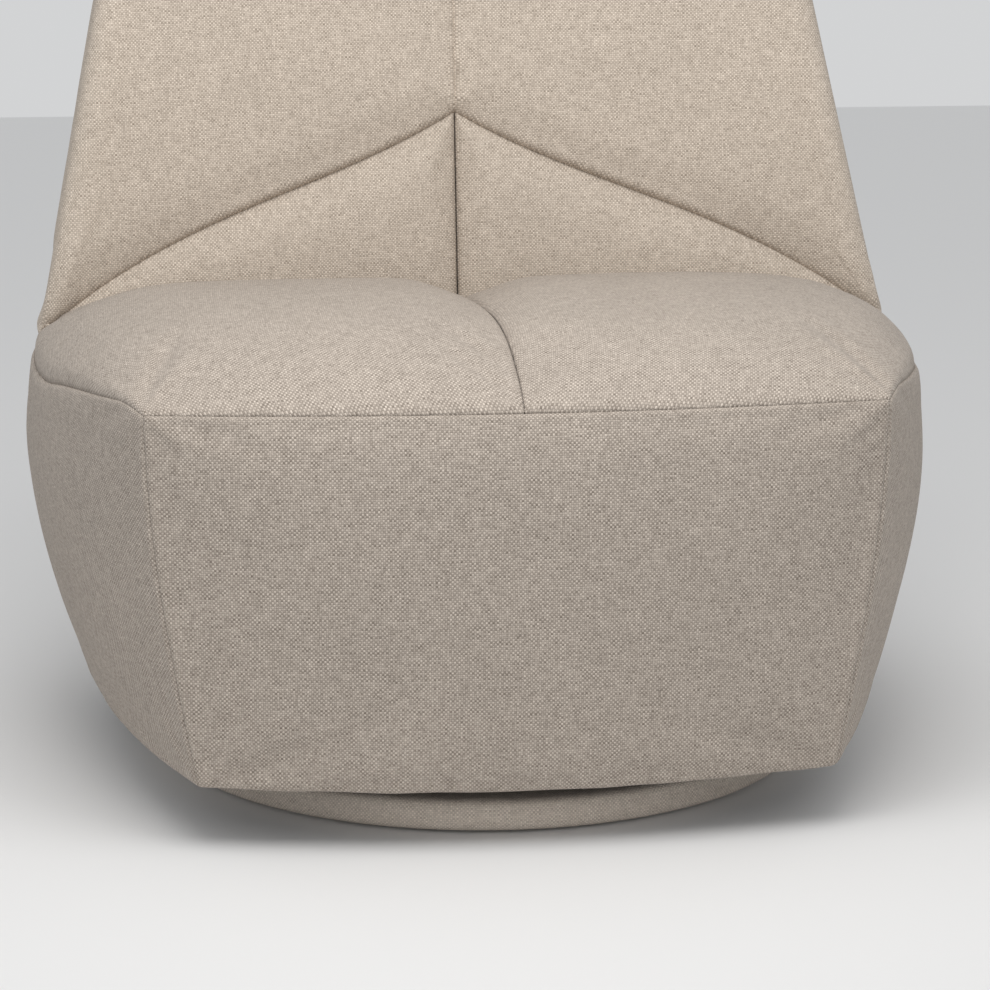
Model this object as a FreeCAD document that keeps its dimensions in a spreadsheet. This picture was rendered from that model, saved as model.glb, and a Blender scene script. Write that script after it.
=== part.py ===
"""Armless swivel glider nursery chair, in millimetres: +Z up, front towards -Y, origin on the floor.

A fabric-wrapped disc carries a ball bearing, a swivel frame and two pairs of hanging links.
The links carry the chair's hardwood frame, its springs and foam, and its fabric panels.
"""
import FreeCAD
import Part
import Sketcher

import math
import os

doc = FreeCAD.newDocument("glider_chair")
dims = doc.addObject("Spreadsheet::Sheet", "dims")

SIZES = [
    # the upholstered body in plan, at the seam under the seat top
    ("seat_half_width", 462),
    ("front_narrowing", 106),
    ("rear_narrowing", 62),
    ("front_y", -400),
    ("front_bulge", 30),
    ("shoulder_y", 95),
    ("rear_corner_y", 322),
    ("rear_bulge", 90),
    # how the body tucks in towards its hem and swells between hem and seam
    ("hem_z", 68),
    ("seam_z", 431),
    ("hem_tuck", 43),
    ("rear_tuck", 60),
    ("side_belly", 33),
    ("front_belly", 9),
    ("rear_belly", 14),
    ("belly_skew", 0.6),
    ("pad_thickness", 20),
    ("frame_gap", 2),
    # seat
    ("seat_crown", 44),
    ("seat_foam_thickness", 92),
    ("seat_foam_rear_y", 240),
    ("spring_space", 8),
    ("spring_wire", 2),
    ("spring_reach", 22),
    ("spring_pitch", 50),
    ("spring_spacing", 80),
    ("spring_front_y", -350),
    ("clip_width", 30),
    ("clip_length", 16),
    # back
    ("back_top_z", 890),
    ("back_taper", 90),
    ("back_rear_narrowing", 25),
    ("top_corner_radius", 110),
    ("top_roll", 28),
    ("edge_lean", 115),
    ("back_hollow", 100),
    ("back_top_hollow", 58),
    ("back_edge_depth", 108),
    ("back_top_bulge", 82),
    ("back_belly", 15),
    ("back_pad", 25),
    ("back_wrap", 20),
    ("outside_back", 15),
    ("foam_core", 42),
    ("foam_core_top", 18),
    ("vee_apex_z", 640),
    ("vee_foot_x", 440),
    # timber frame
    ("bottom_rail_lift", 8),
    ("bottom_rail_height", 25),
    ("bottom_rail_width", 60),
    ("seat_rail_height", 48),
    ("seat_rail_width", 80),
    ("corner_post", 36),
    ("rear_post_inset", 41),
    ("back_post_x", 212),
    ("back_post_width", 36),
    ("back_post_depth", 50),
    ("back_post_top_depth", 28),
    ("back_post_foot_y", 215),
    ("back_post_stop", 40),
    ("back_rail_height", 50),
    ("back_rail_depth", 30),
    ("mid_rail_z", 470),
    ("strap_width", 50),
    ("strap_thickness", 2),
    ("strap_first_z", 560),
    ("strap_step", 70),
    ("mount_board_width", 80),
    ("mount_board_thickness", 25),
    ("mount_board_front_y", -385),
    ("mount_board_rear_y", 290),
    ("dust_cloth", 1),
    ("dust_hole_margin", 7),
    ("dust_hole_y", 200),
    # base and swivel bearing
    ("axis_y", -42),
    ("foot_height", 5),
    ("foot_radius", 14),
    ("foot_circle", 250),
    ("foot_screw", 2),
    ("foot_screw_head", 4.5),
    ("base_radius", 334),
    ("board_thickness", 28),
    ("wrap_side", 8),
    ("wrap_top", 2),
    ("wrap_edge", 9),
    ("wrap_top_opening", 190),
    ("wrap_bottom_opening", 300),
    ("race_inner", 100),
    ("race_outer", 160),
    ("race_thickness", 4),
    ("race_gap", 5.5),
    ("ball_circle", 130),
    ("ball_radius", 4.75),
    ("groove_clearance", 0.05),
    ("cage_thickness", 2.4),
    ("cage_margin", 9),
    ("race_bolt_circle", 110),
    ("race_bolt", 2.5),
    ("race_bolt_head", 4.5),
    ("swivel_bolt_circle", 150),
    ("swivel_bolt", 3),
    ("swivel_bolt_head", 6),
    # swivel frame and links
    ("plate_thickness", 4),
    ("plate_depth", 250),
    ("cross_tube", 25),
    ("cross_tube_wall", 2),
    ("cross_tube_y", 28),
    ("hanger_x", 147),
    ("hanger_thickness", 5),
    ("hanger_neck", 40),
    ("hanger_neck_drop", 90),
    ("hanger_arm", 15),
    ("pivot_drop", 21),
    ("pivot_spread", 110),
    ("link_length", 120),
    ("link_thickness", 5),
    ("link_half", 12.5),
    ("link_gap", 3),
    ("pin_radius", 5),
    ("pin_head", 8),
    ("bush_radius", 8),
    ("bush_lip", 1),
    ("running_clearance", 0.05),
    ("link_tube_radius", 8),
    ("rail_bush_radius", 7),
    ("rail_bush_lip", 2),
    ("rear_pivot_clearance", 0.25),
    ("swing_angle", 26),
    ("bumper_radius", 6),
    ("bumper_drop", 50),
    ("bumper_gap", 0.5),
    # carriage rails under the chair
    ("rail_gap", 5),
    ("rail_sheet", 3),
    ("rail_flange", 40),
    ("rail_half_length", 165),
    ("rail_skirt", 14),
    ("rail_bolt", 3),
    ("rail_bolt_head", 7),
    ("rail_bolt_inset", 25),
    ("rail_bolt_near", 60),
    ("rail_bolt_far", 140),
]
BALLS = 24
FEET = 8
SPRINGS = 5
STRAPS = 4
BODY_LEVELS = 7

for row, (alias, value) in enumerate(SIZES, start=1):
    dims.set(f"A{row}", alias)
    dims.set(f"B{row}", str(value))
    dims.setAlias(f"B{row}", alias)
doc.recompute()

nodes = []


# ---------------------------------------------------------------- helpers

def size(alias):
    """The number that a cell of the sheet holds."""
    return float(dims.get(alias))


def vec(x, y, z):
    return FreeCAD.Vector(x, y, z)


def keep(obj):
    """Marks an object as one of the chair's sub-parts, to be written under its Label."""
    nodes.append(obj)
    return obj


def place(obj, x, y, z):
    """Binds an object's position to the sheet."""
    for axis, expression in zip("xyz", (x, y, z)):
        obj.setExpression(f"Placement.Base.{axis}", str(expression))


def box(label, corner, extents):
    obj = doc.addObject("Part::Box", label)
    for prop, expression in zip(("Length", "Width", "Height"), extents):
        obj.setExpression(prop, expression)
    place(obj, *corner)
    return obj


def cylinder(label, radius, height, base, along="z"):
    """A round bar from base, along +Z or along +X."""
    obj = doc.addObject("Part::Cylinder", label)
    obj.setExpression("Radius", radius)
    obj.setExpression("Height", height)
    if along == "x":
        obj.Placement = FreeCAD.Placement(vec(0, 0, 0), FreeCAD.Rotation(vec(0, 1, 0), 90))
    place(obj, *base)
    return obj


def cut(label, base, tool):
    obj = doc.addObject("Part::Cut", label)
    obj.Base = base
    obj.Tool = tool
    return obj


def fuse(label, members):
    obj = doc.addObject("Part::MultiFuse", label)
    obj.Shapes = members
    return obj


def group(label, members):
    """Separate solids under one label."""
    obj = doc.addObject("Part::Compound", label)
    obj.Links = members
    return obj


def mirrored(label, source):
    """The left-hand twin of a right-hand piece."""
    obj = doc.addObject("Part::Mirroring", label)
    obj.Source = source
    obj.Normal = (1, 0, 0)
    return obj


def shaped(label, shape):
    """A sub-part whose curved shape comes from Part's own functions."""
    obj = doc.addObject("Part::Feature", label)
    obj.Shape = shape
    return obj


def plate(label, corners, thickness, x, holes=()):
    """A flat plate in a fore-and-aft plane: corners and holes are given as (y, z) expressions."""
    body = doc.addObject("PartDesign::Body", label)
    plane = next(o for o in body.Origin.OriginFeatures if o.Role == "YZ_Plane")
    sketch = body.newObject("Sketcher::SketchObject", f"{label}_outline")
    sketch.AttachmentSupport = [(plane, "")]
    sketch.MapMode = "FlatFace"
    guess = doc.addObject("Part::Box", f"{label}_guess")
    points = []
    for y, z in corners:
        points.append((measure(guess, y), measure(guess, z)))
    count = len(points)
    for i in range(count):
        start = vec(*points[i], 0)
        end = vec(*points[(i + 1) % count], 0)
        sketch.addGeometry(Part.LineSegment(start, end), False)
    for i in range(count):
        sketch.addConstraint(Sketcher.Constraint("Coincident", i, 2, (i + 1) % count, 1))
    for i, (y, z) in enumerate(corners):
        pin_down(sketch, "DistanceX", i, 1, points[i][0], y)
        pin_down(sketch, "DistanceY", i, 1, points[i][1], z)
    for y, z, radius in holes:
        centre = vec(measure(guess, y), measure(guess, z), 0)
        circle = sketch.addGeometry(Part.Circle(centre, vec(0, 0, 1), measure(guess, radius)), False)
        pin_down(sketch, "DistanceX", circle, 3, centre.x, y)
        pin_down(sketch, "DistanceY", circle, 3, centre.y, z)
        made = sketch.addConstraint(Sketcher.Constraint("Radius", circle, measure(guess, radius)))
        sketch.setExpression(f"Constraints[{made}]", radius)
    doc.removeObject(guess.Name)
    pad = body.newObject("PartDesign::Pad", f"{label}_pad")
    pad.Profile = sketch
    pad.setExpression("Length", thickness)
    body.setExpression("Placement.Base.x", x)
    return body


def pin_down(sketch, kind, geometry, point, value, expression):
    """Fixes one coordinate of a sketch point to an expression."""
    made = sketch.addConstraint(Sketcher.Constraint(kind, -1, 1, geometry, point, value))
    sketch.setExpression(f"Constraints[{made}]", expression)


def measure(obj, expression):
    """The number that an expression on the sheet comes to."""
    return float(obj.evalExpression(expression))


def around(count, circle, first=0):
    """Places evenly round the swivel axis, as pairs of x and y expressions."""
    spots = []
    for i in range(count):
        angle = first + 360 * i / count
        spots.append((f"dims.{circle} * cos({angle})", f"dims.axis_y + dims.{circle} * sin({angle})"))
    return spots


# ---------------------------------------------------------------- heights and lines used by several pieces

BOARD_TOP = "(dims.foot_height + dims.board_thickness)"
LOWER_RACE_TOP = f"({BOARD_TOP} + dims.race_thickness)"
UPPER_RACE_Z = f"({LOWER_RACE_TOP} + dims.race_gap)"
PLATE_Z = f"({UPPER_RACE_Z} + dims.race_thickness)"
DECK_Z = f"({PLATE_Z} + dims.plate_thickness)"
BALL_Z = f"({LOWER_RACE_TOP} + dims.race_gap / 2)"
LINK_X = "(dims.hanger_x + dims.hanger_thickness + dims.link_gap)"
RAIL_X = f"({LINK_X} + dims.link_thickness + dims.rail_gap)"
FLANGE_TOP = "(dims.hem_z + dims.bottom_rail_lift + dims.bottom_rail_height)"
LOWER_PIVOT_Z = f"({FLANGE_TOP} - dims.pivot_drop)"
PIVOT_Z = f"({LOWER_PIVOT_Z} + dims.link_length)"
BOARD_Z = FLANGE_TOP
BOARD_UP = f"({BOARD_Z} + dims.mount_board_thickness)"
SEAT_RAIL_TOP = "(dims.seam_z - dims.seat_foam_thickness - dims.spring_space)"
SEAT_RAIL_Z = f"({SEAT_RAIL_TOP} - dims.seat_rail_height)"
POST_TOP_Z = "(dims.back_top_z - dims.back_post_stop)"
POST_SHARE = f"(({POST_TOP_Z} - dims.seam_z) / (dims.back_top_z - dims.seam_z))"
POST_FRONT = "(dims.shoulder_y + dims.back_hollow + dims.back_pad + dims.foam_core)"
POST_FRONT_TOP = (
    f"(dims.shoulder_y + dims.edge_lean * {POST_SHARE} + dims.back_hollow"
    f" + (dims.back_top_hollow - dims.back_hollow) * {POST_SHARE} + dims.back_pad + dims.foam_core_top)"
)


def post_front(z):
    """Where the sloping front of a back post is at a height, as an expression."""
    rise = f"({z} - dims.seam_z) / ({POST_TOP_Z} - dims.seam_z)"
    return f"({POST_FRONT} + ({POST_FRONT_TOP} - {POST_FRONT}) * {rise})"


# ---------------------------------------------------------------- base: disc, fabric wrap and feet

board_block = cylinder(
    "base_board_block", "dims.base_radius", "dims.board_thickness", (0, "dims.axis_y", "dims.foot_height")
)
wrap_block = cylinder(
    "wrap_block", "dims.base_radius + dims.wrap_side", "dims.board_thickness + 2 * dims.wrap_top",
    (0, "dims.axis_y", "dims.foot_height - dims.wrap_top"),
)
wrap_round = doc.addObject("Part::Fillet", "wrap_round")
wrap_round.Base = wrap_block
wrap_round.Edges = [(1, size("wrap_edge"), size("wrap_edge")), (3, size("wrap_edge"), size("wrap_edge"))]
wrap_top_hole = cylinder(
    "wrap_top_hole", "dims.wrap_top_opening", "2 * dims.wrap_top", (0, "dims.axis_y", BOARD_TOP)
)
wrap_bottom_hole = cylinder(
    "wrap_bottom_hole", "dims.wrap_bottom_opening", "dims.wrap_top",
    (0, "dims.axis_y", "dims.foot_height - dims.wrap_top"),
)
wrap_tool = fuse("wrap_tool", [board_block, wrap_top_hole, wrap_bottom_hole])
keep(cut("base_cover", wrap_round, wrap_tool))

screws = []
foot_tools = []
foot_blocks = []
for i, (x, y) in enumerate(around(FEET, "foot_circle")):
    foot_blocks.append(cylinder(f"foot_{i}", "dims.foot_radius", "dims.foot_height", (x, y, 0)))
    shank = cylinder(f"foot_shank_{i}", "dims.foot_screw", "dims.foot_height + 12", (x, y, 1.5))
    head = cylinder(f"foot_head_{i}", "dims.foot_screw_head", "2", (x, y, 1.5))
    screws.append(fuse(f"foot_screw_{i}", [shank, head]))
    foot_tools.append(cylinder(f"foot_recess_{i}", "dims.foot_screw_head", "1.5", (x, y, 0)))
feet_screws = keep(group("base_feet_screws", screws))
foot_tool = fuse("foot_tool", [feet_screws, *foot_tools])
keep(cut("base_feet", group("feet_blocks", foot_blocks), foot_tool))


# ---------------------------------------------------------------- swivel bearing

def ring(label, inner, outer, thickness, z):
    """A flat washer round the swivel axis."""
    disc = cylinder(f"{label}_disc", outer, thickness, (0, "dims.axis_y", z))
    bore = cylinder(f"{label}_bore", inner, thickness, (0, "dims.axis_y", z))
    return cut(f"{label}_blank", disc, bore)


def headed(label, shank, head, head_height, spot, bottom, length, head_up=True):
    """A screw along Z: a shank from bottom, with a head at its top or its bottom end."""
    bar = cylinder(f"{label}_shank", shank, length, (*spot, bottom))
    head_z = f"{bottom} + {length} - {head_height}" if head_up else bottom
    cap = cylinder(f"{label}_head", head, head_height, (*spot, head_z))
    return fuse(label, [bar, cap])


race_bolts = keep(group("lower_race_bolts", [
    headed(f"race_bolt_{i}", "dims.race_bolt", "dims.race_bolt_head", "2", spot,
           f"({LOWER_RACE_TOP} - 20)", "20")
    for i, spot in enumerate(around(4, "race_bolt_circle", 45))
]))
groove = doc.addObject("Part::Torus", "ball_groove")
groove.setExpression("Radius1", "dims.ball_circle")
groove.setExpression("Radius2", "dims.ball_radius + dims.groove_clearance")
place(groove, 0, "dims.axis_y", BALL_Z)
keep(cut("base_board", board_block, fuse("board_holes", [race_bolts, feet_screws])))
lower_blank = ring("lower_race", "dims.race_inner", "dims.race_outer", "dims.race_thickness", BOARD_TOP)
keep(cut("lower_race", lower_blank, fuse("lower_race_tool", [groove, race_bolts])))

balls = []
pockets = []
for i, (x, y) in enumerate(around(BALLS, "ball_circle")):
    ball = doc.addObject("Part::Sphere", f"ball_{i}")
    ball.setExpression("Radius", "dims.ball_radius")
    place(ball, x, y, BALL_Z)
    balls.append(ball)
    pockets.append(cylinder(
        f"ball_pocket_{i}", "dims.ball_radius + 2 * dims.groove_clearance", "dims.cage_thickness",
        (x, y, f"{BALL_Z} - dims.cage_thickness / 2"),
    ))
keep(group("bearing_balls", balls))
cage_blank = ring(
    "ball_cage", "dims.ball_circle - dims.cage_margin", "dims.ball_circle + dims.cage_margin",
    "dims.cage_thickness", f"{BALL_Z} - dims.cage_thickness / 2",
)
keep(cut("ball_cage", cage_blank, group("ball_pockets", pockets)))

swivel_bolts = keep(group("swivel_bolts", [
    headed(f"swivel_bolt_{i}", "dims.swivel_bolt", "dims.swivel_bolt_head", "4", spot, UPPER_RACE_Z,
           "(dims.race_thickness + dims.plate_thickness + 4)")
    for i, spot in enumerate(around(4, "swivel_bolt_circle", 45))
]))
upper_blank = ring("upper_race", "dims.race_inner", "dims.race_outer", "dims.race_thickness", UPPER_RACE_Z)
keep(cut("upper_race", upper_blank, fuse("upper_race_tool", [groove, swivel_bolts])))


# ---------------------------------------------------------------- swivel frame: plate, cross tubes, hangers

plate_blank = box(
    "swivel_plate_blank",
    ("-dims.hanger_x - dims.hanger_thickness", "dims.axis_y - dims.plate_depth / 2", PLATE_Z),
    ("2 * (dims.hanger_x + dims.hanger_thickness)", "dims.plate_depth", "dims.plate_thickness"),
)
plate_bore = cylinder(
    "swivel_plate_bore", "dims.race_inner / 2", "dims.plate_thickness", (0, "dims.axis_y", PLATE_Z)
)
keep(cut("swivel_plate", plate_blank, fuse("swivel_plate_tool", [swivel_bolts, plate_bore])))

tubes = []
for name, side in (("front", "-"), ("rear", "+")):
    y = f"dims.axis_y {side} dims.cross_tube_y - dims.cross_tube / 2"
    outer = box(f"cross_outer_{name}", ("-dims.hanger_x", y, DECK_Z),
                ("2 * dims.hanger_x", "dims.cross_tube", "dims.cross_tube"))
    inner = box(
        f"cross_inner_{name}",
        ("-dims.hanger_x", f"{y} + dims.cross_tube_wall", f"{DECK_Z} + dims.cross_tube_wall"),
        ("2 * dims.hanger_x", "dims.cross_tube - 2 * dims.cross_tube_wall",
         "dims.cross_tube - 2 * dims.cross_tube_wall"),
    )
    tubes.append(cut(f"cross_tube_{name}", outer, inner))
keep(group("cross_tubes", tubes))

NECK = "dims.hanger_neck"
ARM = "(dims.pivot_spread + dims.hanger_arm)"
PIVOT_Y = {"front": "(dims.axis_y - dims.pivot_spread)", "rear": "(dims.axis_y + dims.pivot_spread)"}
hanger_corners = [
    (f"dims.axis_y - {NECK}", DECK_Z),
    (f"dims.axis_y + {NECK}", DECK_Z),
    (f"dims.axis_y + {NECK}", f"{PIVOT_Z} - dims.hanger_neck_drop"),
    (f"dims.axis_y + {ARM}", f"{PIVOT_Z} - dims.hanger_arm"),
    (f"dims.axis_y + {ARM}", f"{PIVOT_Z} + dims.hanger_arm"),
    (f"dims.axis_y - {ARM}", f"{PIVOT_Z} + dims.hanger_arm"),
    (f"dims.axis_y - {ARM}", f"{PIVOT_Z} - dims.hanger_arm"),
    (f"dims.axis_y - {NECK}", f"{PIVOT_Z} - dims.hanger_neck_drop"),
]
hanger_holes = [(y, PIVOT_Z, "dims.pin_radius") for y in PIVOT_Y.values()]
hanger = keep(plate("hanger_right", hanger_corners, "dims.hanger_thickness", "dims.hanger_x", hanger_holes))
keep(mirrored("hanger_left", hanger))

pins = []
bumpers = []
for name, inward in (("front", "+"), ("rear", "-")):
    start = "dims.hanger_x - 4"
    reach = f"({LINK_X} - dims.hanger_x + dims.link_thickness + 2)"
    bar = cylinder(f"pin_bar_{name}", "dims.pin_radius", f"{reach} + 8",
                   (start, PIVOT_Y[name], PIVOT_Z), "x")
    nut = cylinder(f"pin_nut_{name}", "dims.pin_head", "4", (start, PIVOT_Y[name], PIVOT_Z), "x")
    head = cylinder(f"pin_head_{name}", "dims.pin_head", "4",
                    (f"dims.hanger_x + {reach}", PIVOT_Y[name], PIVOT_Z), "x")
    pin = fuse(f"pin_{name}_right", [bar, nut, head])
    pins += [pin, mirrored(f"pin_{name}_left", pin)]
    offset = "(dims.link_half + dims.bumper_radius + dims.bumper_gap)"
    over = f"(dims.bumper_drop * sin(dims.swing_angle) + {offset} * cos(dims.swing_angle))"
    down = f"(dims.bumper_drop * cos(dims.swing_angle) - {offset} * sin(dims.swing_angle))"
    bumper = cylinder(
        f"bumper_{name}_right", "dims.bumper_radius", "dims.link_gap + dims.link_thickness",
        ("dims.hanger_x + dims.hanger_thickness", f"{PIVOT_Y[name]} {inward} {over}",
         f"{PIVOT_Z} - {down}"), "x",
    )
    bumpers += [bumper, mirrored(f"bumper_{name}_left", bumper)]
keep(group("upper_pivot_pins", pins))
keep(group("stop_bumpers", bumpers))


# ---------------------------------------------------------------- links: two hanging pairs, each with its tube

for name, y in PIVOT_Y.items():
    bush_x = f"({LINK_X} - dims.bush_lip)"
    bush_length = "dims.link_thickness + 2 * dims.bush_lip"
    bush_out = cylinder(f"bush_out_{name}", "dims.bush_radius", bush_length,
                        (bush_x, y, PIVOT_Z), "x")
    bush_bore = cylinder(f"bush_bore_{name}", "dims.pin_radius + dims.running_clearance", bush_length,
                         (bush_x, y, PIVOT_Z), "x")
    bush = cut(f"bush_{name}_right", bush_out, bush_bore)
    keep(group(f"{name}_link_bushes", [bush, mirrored(f"bush_{name}_left", bush)]))
    strip = box(f"link_strip_{name}", (LINK_X, f"{y} - dims.link_half", LOWER_PIVOT_Z),
                ("dims.link_thickness", "2 * dims.link_half", "dims.link_length"))
    top_end = cylinder(f"link_top_{name}", "dims.link_half", "dims.link_thickness",
                       (LINK_X, y, PIVOT_Z), "x")
    low_end = cylinder(f"link_low_{name}", "dims.link_half", "dims.link_thickness",
                       (LINK_X, y, LOWER_PIVOT_Z), "x")
    journal = cylinder(f"journal_{name}", "dims.pin_radius", f"2 * ({RAIL_X} + 8)",
                       (f"-{RAIL_X} - 8", y, LOWER_PIVOT_Z), "x")
    holes = fuse(f"link_holes_{name}", [bush_out, journal])
    link = keep(cut(f"{name}_link_right", fuse(f"link_bar_{name}", [strip, top_end, low_end]), holes))
    keep(mirrored(f"{name}_link_left", link))
    middle = cylinder(f"link_tube_middle_{name}", "dims.link_tube_radius", f"2 * {LINK_X}",
                      (f"-{LINK_X}", y, LOWER_PIVOT_Z), "x")
    keep(fuse(f"{name}_link_tube", [journal, middle]))


# ---------------------------------------------------------------- carriage rails and their boards

rail_y = "(dims.axis_y - dims.rail_half_length)"
rail_leg = box(
    "rail_leg", (RAIL_X, rail_y, f"{LOWER_PIVOT_Z} - dims.rail_skirt"),
    ("dims.rail_sheet", "2 * dims.rail_half_length", f"{FLANGE_TOP} - {LOWER_PIVOT_Z} + dims.rail_skirt"),
)
rail_top = box(
    "rail_top", (RAIL_X, rail_y, f"{FLANGE_TOP} - dims.rail_sheet"),
    ("dims.rail_flange", "2 * dims.rail_half_length", "dims.rail_sheet"),
)
rail_blank = fuse("rail_blank", [rail_leg, rail_top])
rail_bushes = []
bush_blocks = []
for name, clearance in (("front", "dims.running_clearance"), ("rear", "dims.rear_pivot_clearance")):
    spot = (f"{RAIL_X} - dims.rail_bush_lip", PIVOT_Y[name], LOWER_PIVOT_Z)
    length = "dims.rail_sheet + 2 * dims.rail_bush_lip"
    block = cylinder(f"rail_bush_block_{name}", "dims.rail_bush_radius", length, spot, "x")
    bore = cylinder(f"rail_bush_bore_{name}", f"dims.pin_radius + {clearance}", length, spot, "x")
    bush = cut(f"rail_bush_{name}_right", block, bore)
    bush_blocks.append(block)
    rail_bushes += [bush, mirrored(f"rail_bush_{name}_left", bush)]
keep(group("rail_bushes", rail_bushes))

bolts = []
for i, offset in enumerate(("- dims.rail_bolt_far", "- dims.rail_bolt_near",
                            "+ dims.rail_bolt_near", "+ dims.rail_bolt_far")):
    spot = (f"{RAIL_X} + dims.rail_bolt_inset", f"dims.axis_y {offset}")
    bottom = f"({FLANGE_TOP} - dims.rail_sheet - 5)"
    body = headed(f"rail_bolt_body_{i}", "dims.rail_bolt", "dims.rail_bolt_head", "4", spot, bottom,
                  "(dims.mount_board_thickness + dims.rail_sheet + 9)")
    nut = cylinder(f"rail_nut_{i}", "dims.rail_bolt_head - 1", "5", (*spot, bottom))
    bolts.append(fuse(f"rail_bolt_{i}_right", [body, nut]))
bolts_right = group("rail_bolts_right", bolts)
bolts_left = mirrored("rail_bolts_left", bolts_right)
keep(group("rail_bolts", [bolts_right, bolts_left]))

rail = keep(cut("rail_right", rail_blank, fuse("rail_tool", [*bush_blocks, *bolts])))
keep(mirrored("rail_left", rail))
board_blank = box(
    "mount_board_blank", (RAIL_X, "dims.mount_board_front_y", BOARD_Z),
    ("dims.mount_board_width", "dims.mount_board_rear_y - dims.mount_board_front_y",
     "dims.mount_board_thickness"),
)
mount_board = keep(cut("mount_board_right", board_blank, bolts_right))
keep(mirrored("mount_board_left", mount_board))


# ---------------------------------------------------------------- plan outlines of the upholstered body

def flip(point):
    return vec(-point.x, point.y, point.z)


def line(start, end):
    return Part.LineSegment(start, end).toShape()


def arc(start, middle, end):
    return Part.Arc(start, middle, end).toShape()


def shoulder_arc(shoulder, corner):
    """Arc from the widest point, where the outline runs fore and aft, to a corner."""
    across = shoulder.x - corner.x
    along = corner.y - shoulder.y
    radius = (across ** 2 + along ** 2) / (2 * across)
    turn = math.atan2(along, radius - across) / 2
    x = shoulder.x - radius * (1 - math.cos(turn))
    return arc(shoulder, vec(x, shoulder.y + radius * math.sin(turn), shoulder.z), corner)


def part_arc(middle, edge, radius):
    """Arc from the middle of a symmetrical curve to its end, on a circle about the centre plane."""
    side = 1 if edge.y > middle.y else -1
    centre_y = middle.y + side * radius
    turn = math.atan2(edge.x, abs(edge.y - centre_y)) / 2
    halfway = vec(radius * math.sin(turn), centre_y - side * radius * math.cos(turn), middle.z)
    return arc(middle, halfway, edge)


def curve_radius(middle, edge):
    """Radius of the circle through an edge point, its mirror image and the middle."""
    sag = abs(edge.y - middle.y)
    return (edge.x ** 2 + sag ** 2) / (2 * sag)


def hump(share):
    """Swell of the panels between two seams, fuller towards the upper one."""
    return 4 * share * (1 - share) * (1 + size("belly_skew") * (share - 0.5))


def body_points(z, inset):
    """Front corner, shoulder, rear corner, front middle and rear middle of the body at a height."""
    share = (z - size("hem_z")) / (size("seam_z") - size("hem_z"))
    swell = hump(share)
    side = size("seat_half_width") - size("hem_tuck") * (1 - share)
    front = vec(side - size("front_narrowing") + size("front_belly") * swell - inset,
                size("front_y") + inset, z)
    shoulder = vec(side + size("side_belly") * swell - inset, size("shoulder_y"), z)
    rear_y = size("rear_corner_y") - size("rear_tuck") * (1 - share) + size("rear_belly") * swell - inset
    rear = vec(side - size("rear_narrowing") + size("rear_belly") * swell - inset, rear_y, z)
    front_middle = vec(0, size("front_y") - size("front_bulge") + inset, z)
    return front, shoulder, rear, front_middle, vec(0, rear_y + size("rear_bulge"), z)


def front_wire(z, outer, inner):
    front, _, _, middle, _ = body_points(z, outer)
    inside, _, _, inside_middle, _ = body_points(z, inner)
    return Part.Wire([
        arc(flip(front), middle, front),
        line(front, inside),
        arc(inside, inside_middle, flip(inside)),
        line(flip(inside), flip(front)),
    ])


def rear_wire(z, outer, inner):
    _, _, rear, _, middle = body_points(z, outer)
    _, _, inside, _, inside_middle = body_points(z, inner)
    return Part.Wire([
        arc(flip(rear), middle, rear),
        line(rear, inside),
        arc(inside, inside_middle, flip(inside)),
        line(flip(inside), flip(rear)),
    ])


def side_wire(z, outer, inner):
    front, shoulder, rear, _, _ = body_points(z, outer)
    front_in, shoulder_in, rear_in, _, _ = body_points(z, inner)
    return Part.Wire([
        shoulder_arc(shoulder, front),
        line(front, front_in),
        shoulder_arc(shoulder_in, front_in),
        shoulder_arc(shoulder_in, rear_in),
        line(rear_in, rear),
        shoulder_arc(shoulder, rear),
    ])


def whole_wire(z, inset):
    front, shoulder, rear, front_middle, rear_middle = body_points(z, inset)
    return Part.Wire([
        arc(flip(front), front_middle, front),
        shoulder_arc(shoulder, front),
        shoulder_arc(shoulder, rear),
        arc(rear, rear_middle, flip(rear)),
        mirror_edge(shoulder_arc(shoulder, rear)),
        mirror_edge(shoulder_arc(shoulder, front)),
    ])


def mirror_edge(edge):
    return edge.mirror(vec(0, 0, 0), vec(1, 0, 0))


def loft(wires):
    return Part.makeLoft(wires, True, True)


def steps(low, high, count):
    return [low + (high - low) * i / (count - 1) for i in range(count)]


def band(wire, heights, outer, inner):
    """A panel or rail that follows the body's outline between two insets."""
    return loft([wire(z, outer, inner) for z in heights])


def left_of(shape):
    return shape.mirror(vec(0, 0, 0), vec(1, 0, 0))


# ---------------------------------------------------------------- back posts and rails

post_corners = [
    ("dims.back_post_foot_y", BOARD_UP),
    ("dims.back_post_foot_y + dims.back_post_depth", BOARD_UP),
    (f"{POST_FRONT} + dims.back_post_depth", "dims.seam_z"),
    (f"{POST_FRONT_TOP} + dims.back_post_top_depth", POST_TOP_Z),
    (POST_FRONT_TOP, POST_TOP_Z),
    (POST_FRONT, "dims.seam_z"),
]
back_post = keep(plate("back_post_right", post_corners, "dims.back_post_width", "dims.back_post_x"))
back_post_left = keep(mirrored("back_post_left", back_post))


def cross_rail(label, z):
    """A rail between the two back posts, set back a little from their sloping fronts."""
    front = post_front(f"({z} + dims.back_rail_height)")
    return box(label, ("-dims.back_post_x", f"{front} + 1", z),
               ("2 * dims.back_post_x", "dims.back_rail_depth", "dims.back_rail_height"))


keep(cross_rail("back_mid_rail", "dims.mid_rail_z"))
keep(cross_rail("back_top_rail", f"({POST_TOP_Z} - dims.back_rail_height)"))

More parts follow.
